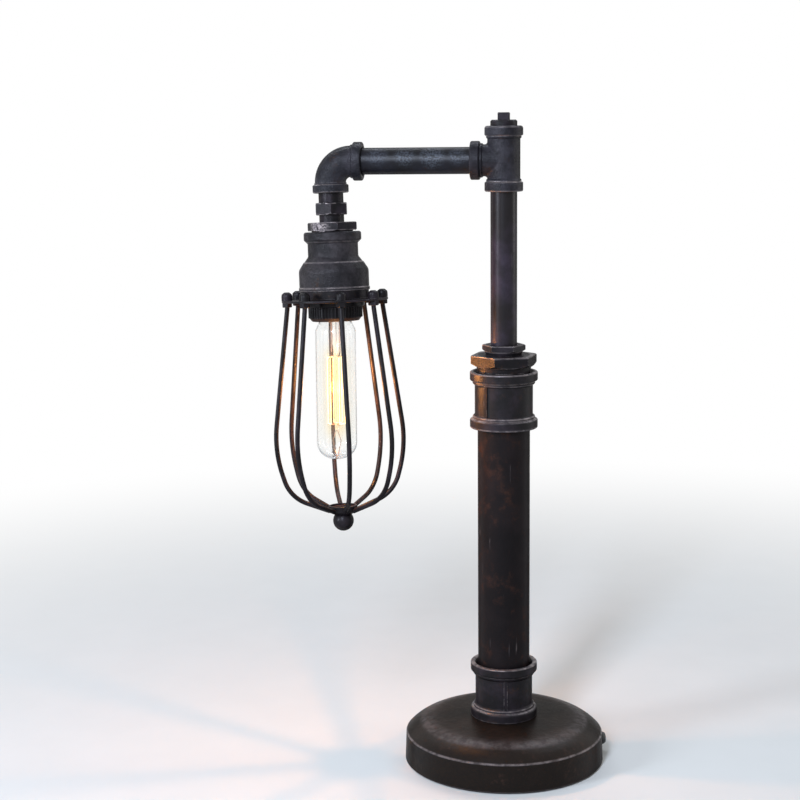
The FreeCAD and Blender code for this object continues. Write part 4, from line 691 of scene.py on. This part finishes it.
def geometry_tree(name, inputs):
    """An empty Geometry Nodes tree with named inputs."""
    tree = bpy.data.node_groups.new(name, "GeometryNodeTree")
    tree.interface.new_socket("Geometry", in_out="INPUT", socket_type="NodeSocketGeometry")
    tree.interface.new_socket("Geometry", in_out="OUTPUT", socket_type="NodeSocketGeometry")
    for title, kind in inputs:
        tree.interface.new_socket(title, in_out="INPUT", socket_type="NodeSocket" + kind)
    return tree, tree.nodes.new("NodeGroupInput").outputs, tree.nodes.new("NodeGroupOutput").inputs


def finish_tree(tree, shape, material, result):
    """Make instances real, smooth them and set their finish."""
    real = add(tree, "GeometryNodeRealizeInstances", {0: shape})
    smooth = add(tree, "GeometryNodeSetShadeSmooth", {0: real.outputs[0]})
    done = add(tree, "GeometryNodeSetMaterial", {0: smooth.outputs[0], "Material": material})
    tree.links.new(done.outputs[0], result[0])


def ring_rib_tree():
    """Round-ended ribs stood in a circle."""
    tree, given, result = geometry_tree("ring_ribs", [
        ("Rib Count", "Int"), ("Circle Radius", "Float"), ("Rib Radius", "Float"), ("Rib Height", "Float"),
        ("Finish", "Material"),
    ])
    circle = add(tree, "GeometryNodeMeshCircle",
                 {"Vertices": given["Rib Count"], "Radius": given["Circle Radius"]})
    up = add(tree, "ShaderNodeCombineXYZ", {"Z": given["Rib Height"]})
    line = add(tree, "GeometryNodeCurvePrimitiveLine", {"End": up.outputs[0]})
    run = add(tree, "GeometryNodeResampleCurve", {"Curve": line.outputs[0], "Count": 9})
    along = add(tree, "GeometryNodeSplineParameter")
    from_middle = maths(tree, "ABSOLUTE", maths(tree, "SUBTRACT", along.outputs["Factor"], 0.5))
    taper = add(tree, "ShaderNodeMapRange", {0: from_middle, 1: 0.36, 2: 0.5, 3: 1.0, 4: 0.35},
                interpolation_type="SMOOTHERSTEP")
    tapered = add(tree, "GeometryNodeSetCurveRadius", {"Curve": run.outputs[0], "Radius": taper.outputs[0]})
    section = add(tree, "GeometryNodeCurvePrimitiveCircle",
                  {"Resolution": 10, "Radius": given["Rib Radius"]})
    rib = add(tree, "GeometryNodeCurveToMesh",
              {"Curve": tapered.outputs[0], "Profile Curve": section.outputs[0], "Fill Caps": True})
    ribs = add(tree, "GeometryNodeInstanceOnPoints",
               {"Points": circle.outputs[0], "Instance": rib.outputs[0]})
    finish_tree(tree, ribs.outputs[0], given["Finish"], result)
    return tree


def coil_tree():
    """A fine wire coiled along a path."""
    tree, given, result = geometry_tree("coiled_wire", [
        ("Coil Radius", "Float"), ("Wire Radius", "Float"), ("Pitch", "Float"), ("Finish", "Material"),
    ])
    path = add(tree, "GeometryNodeMeshToCurve", {0: given["Geometry"]})
    soft = add(tree, "GeometryNodeFilletCurve",
               {"Curve": path.outputs[0], "Radius": STRAND_CORNER_R, "Count": 4}, mode="POLY")
    step = maths(tree, "DIVIDE", given["Pitch"], COIL_STEPS)
    run = add(tree, "GeometryNodeResampleCurve", {"Curve": soft.outputs[0], "Length": step}, mode="LENGTH")
    along = add(tree, "GeometryNodeSplineParameter")
    turns = maths(tree, "DIVIDE", along.outputs["Length"], given["Pitch"])
    turn = maths(tree, "MULTIPLY", turns, 2.0 * math.pi)
    side = add(tree, "GeometryNodeInputNormal")
    ahead = add(tree, "GeometryNodeInputTangent")
    across = vector_maths(tree, "CROSS_PRODUCT", ahead.outputs[0], side.outputs[0])
    one = scaled(tree, side.outputs[0], maths(tree, "COSINE", turn))
    two = scaled(tree, across, maths(tree, "SINE", turn))
    out = scaled(tree, vector_maths(tree, "ADD", one, two), given["Coil Radius"])
    coil = add(tree, "GeometryNodeSetPosition", {"Geometry": run.outputs[0], "Offset": out})
    section = add(tree, "GeometryNodeCurvePrimitiveCircle",
                  {"Resolution": 6, "Radius": given["Wire Radius"]})
    wire = add(tree, "GeometryNodeCurveToMesh",
               {"Curve": coil.outputs[0], "Profile Curve": section.outputs[0], "Fill Caps": True})
    finish_tree(tree, wire.outputs[0], given["Finish"], result)
    return tree


def grown(name, carrier, tree, values):
    """Run a Geometry Nodes tree on a carrier mesh and keep what it makes as a plain mesh."""
    holder = bpy.data.objects.new(name + "_carrier", carrier)
    bpy.context.scene.collection.objects.link(holder)
    modifier = holder.modifiers.new("grow", "NODES")
    modifier.node_group = tree
    sockets = {item.name: item.identifier for item in tree.interface.items_tree if item.in_out == "INPUT"}
    for title, value in values.items():
        modifier[sockets[title]] = value
    bpy.context.view_layer.update()
    made = bpy.data.meshes.new_from_object(holder.evaluated_get(bpy.context.evaluated_depsgraph_get()))
    bpy.data.objects.remove(holder)
    return made


def add_piece(name, mesh, place, body):
    """Put a finished mesh in the frame: its place goes into the mesh, and it rides on a body."""
    mesh.transform(place)
    piece = bpy.data.objects.new(name, mesh)
    bpy.context.scene.collection.objects.link(piece)
    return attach(piece, body)


def add_ring_ribs():
    """The grip ribs round the cage's clamping ring."""
    finish = bpy.data.materials["ring_black"]
    carrier = bpy.data.meshes.new("ring_ribs")
    mesh = grown("ring_ribs", carrier, ring_rib_tree(), {
        "Rib Count": RING_RIB_COUNT, "Circle Radius": RING_RIB_CIRCLE_R, "Rib Radius": RING_RIB_R,
        "Rib Height": RING_FOOT_DEPTH - RING_TOP_DEPTH, "Finish": finish,
    })
    foot = Matrix.Translation((0.0, 0.0, -RING_FOOT_DEPTH))
    add_piece("ring_ribs", mesh, head_matrix() @ foot, "head")


def add_filament():
    """The lit filament as a fine coil that goes up and down round the mount's rod."""
    corners = []
    for k in range(STRAND_COUNT):
        facing = math.radians(STRAND_FIRST_FACING + 360.0 * k / STRAND_COUNT)
        x, y = FILAMENT_CIRCLE_R * math.sin(facing), -FILAMENT_CIRCLE_R * math.cos(facing)
        strand = [(x, y, -FILAMENT_TOP_DEPTH), (x, y, -FILAMENT_FOOT_DEPTH)]
        corners += strand[::-1] if k % 2 else strand
    path = bpy.data.meshes.new("filament_path")
    path.from_pydata(corners, [(k, k + 1) for k in range(len(corners) - 1)], [])
    mesh = grown("filament_coil", path, coil_tree(), {
        "Coil Radius": COIL_R, "Wire Radius": COIL_WIRE_R, "Pitch": COIL_PITCH,
        "Finish": lit_filament_finish(),
    })
    coil = add_piece("filament_coil", mesh, head_matrix(GLASS_LEAN), "head")
    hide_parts("filament")


# Floor, world, lamps and camera


def seen_mask(tree):
    """One for rays that look at the studio, nought for those that carry its light."""
    path = add(tree, "ShaderNodeLightPath")
    mirrored = maths(tree, "MAXIMUM", path.outputs["Is Glossy Ray"], path.outputs["Is Transmission Ray"])
    return maths(tree, "MAXIMUM", path.outputs["Is Camera Ray"], mirrored)


def floor_finish():
    """A pale floor that runs out into the white round the object."""
    finish, tree, shader, place = new_finish("pale_floor")
    mottle = noise(tree, place, 0.05, 4.0)
    feed(tree, blend(tree, mottle, *FLOOR_TONES), shader.inputs["Base Color"])
    shader.inputs["Roughness"].default_value = 0.85
    shader.inputs["Specular IOR Level"].default_value = 0.2
    seen = seen_mask(tree)
    far = ramp(tree, vector_maths(tree, "LENGTH", place, out=1), FLOOR_WHITE_FROM, FLOOR_WHITE_AT)
    white = add(tree, "ShaderNodeEmission", {"Color": WHITE, "Strength": 1.0})
    mixed = add(tree, "ShaderNodeMixShader")
    feed(tree, maths(tree, "MULTIPLY", seen, far), mixed.inputs[0])
    tree.links.new(shader.outputs[0], mixed.inputs[1])
    tree.links.new(white.outputs[0], mixed.inputs[2])
    tree.links.new(mixed.outputs[0], tree.nodes["Material Output"].inputs["Surface"])
    return finish


def set_floor():
    """A wide disc under the lamp."""
    turns = [2 * math.pi * k / FLOOR_CORNERS for k in range(FLOOR_CORNERS)]
    rim = [(FLOOR_RADIUS * math.cos(turn), FLOOR_RADIUS * math.sin(turn), 0.0) for turn in turns]
    mesh = bpy.data.meshes.new("floor")
    mesh.from_pydata(rim, [], [tuple(range(FLOOR_CORNERS))])
    mesh.materials.append(floor_finish())
    floor = bpy.data.objects.new("floor", mesh)
    bpy.context.scene.collection.objects.link(floor)


def set_world():
    """White behind everything that is seen, and a soft even light on the object."""
    world = bpy.data.worlds.new("studio")
    bpy.context.scene.world = world
    world.use_nodes = True
    tree = world.node_tree
    level = ramp(tree, seen_mask(tree), 0.0, 1.0, EVEN_LIGHT, 1.0)
    feed(tree, WHITE, tree.nodes["Background"].inputs["Color"])
    tree.links.new(level, tree.nodes["Background"].inputs["Strength"])


def soft_lamp(name, place, target, width, height, power, tone):
    """A soft lamp turned at a point."""
    data = bpy.data.lights.new(name, "AREA")
    data.shape, data.size, data.size_y = "RECTANGLE", width, height
    data.energy, data.color = power, tone
    lamp = bpy.data.objects.new(name, data)
    bpy.context.scene.collection.objects.link(lamp)
    lamp.location = place
    lamp.rotation_euler = (Vector(target) - Vector(place)).to_track_quat("-Z", "Y").to_euler()
    lamp.visible_camera = False


def set_lamps():
    """Soft studio lamps, and the small warm light of the bulb itself."""
    for lamp_settings in SOFT_LAMPS:
        soft_lamp(*lamp_settings)
    data = bpy.data.lights.new("bulb_light", "POINT")
    data.energy, data.color, data.shadow_soft_size = BULB_LIGHT_POWER, BULB_LIGHT_TONE, BULB_LIGHT_RADIUS
    lamp = bpy.data.objects.new("bulb_light", data)
    bpy.context.scene.collection.objects.link(lamp)
    depth = (FILAMENT_TOP_DEPTH + FILAMENT_FOOT_DEPTH) / 2
    lamp.location = head_matrix(GLASS_LEAN) @ Vector((0.0, 0.0, -depth))
    lamp.visible_camera = lamp.visible_transmission = False
    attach(lamp, "head")


def set_camera():
    """The photograph's place and view."""
    data = bpy.data.cameras.new("camera")
    data.sensor_width, data.lens = 36.0, CAMERA_LENS
    data.clip_start, data.clip_end = 0.01, 50.0
    camera = bpy.data.objects.new("camera", data)
    bpy.context.scene.collection.objects.link(camera)
    turn = Matrix.Rotation(math.radians(CAMERA_TURN), 4, "Z")
    tilt = Matrix.Rotation(math.radians(CAMERA_TILT), 4, "X")
    roll = Matrix.Rotation(math.radians(CAMERA_ROLL), 4, "Z")
    camera.matrix_world = Matrix.Translation(CAMERA_PLACE) @ turn @ tilt @ roll
    bpy.context.scene.camera = camera


finish_the_upright()
finish_the_arm()
finish_the_head()
finish_the_small_pieces()
add_ring_ribs()
add_filament()
set_floor()
set_world()
set_lamps()
set_camera()
bpy.context.scene.view_settings.view_transform = "Standard"
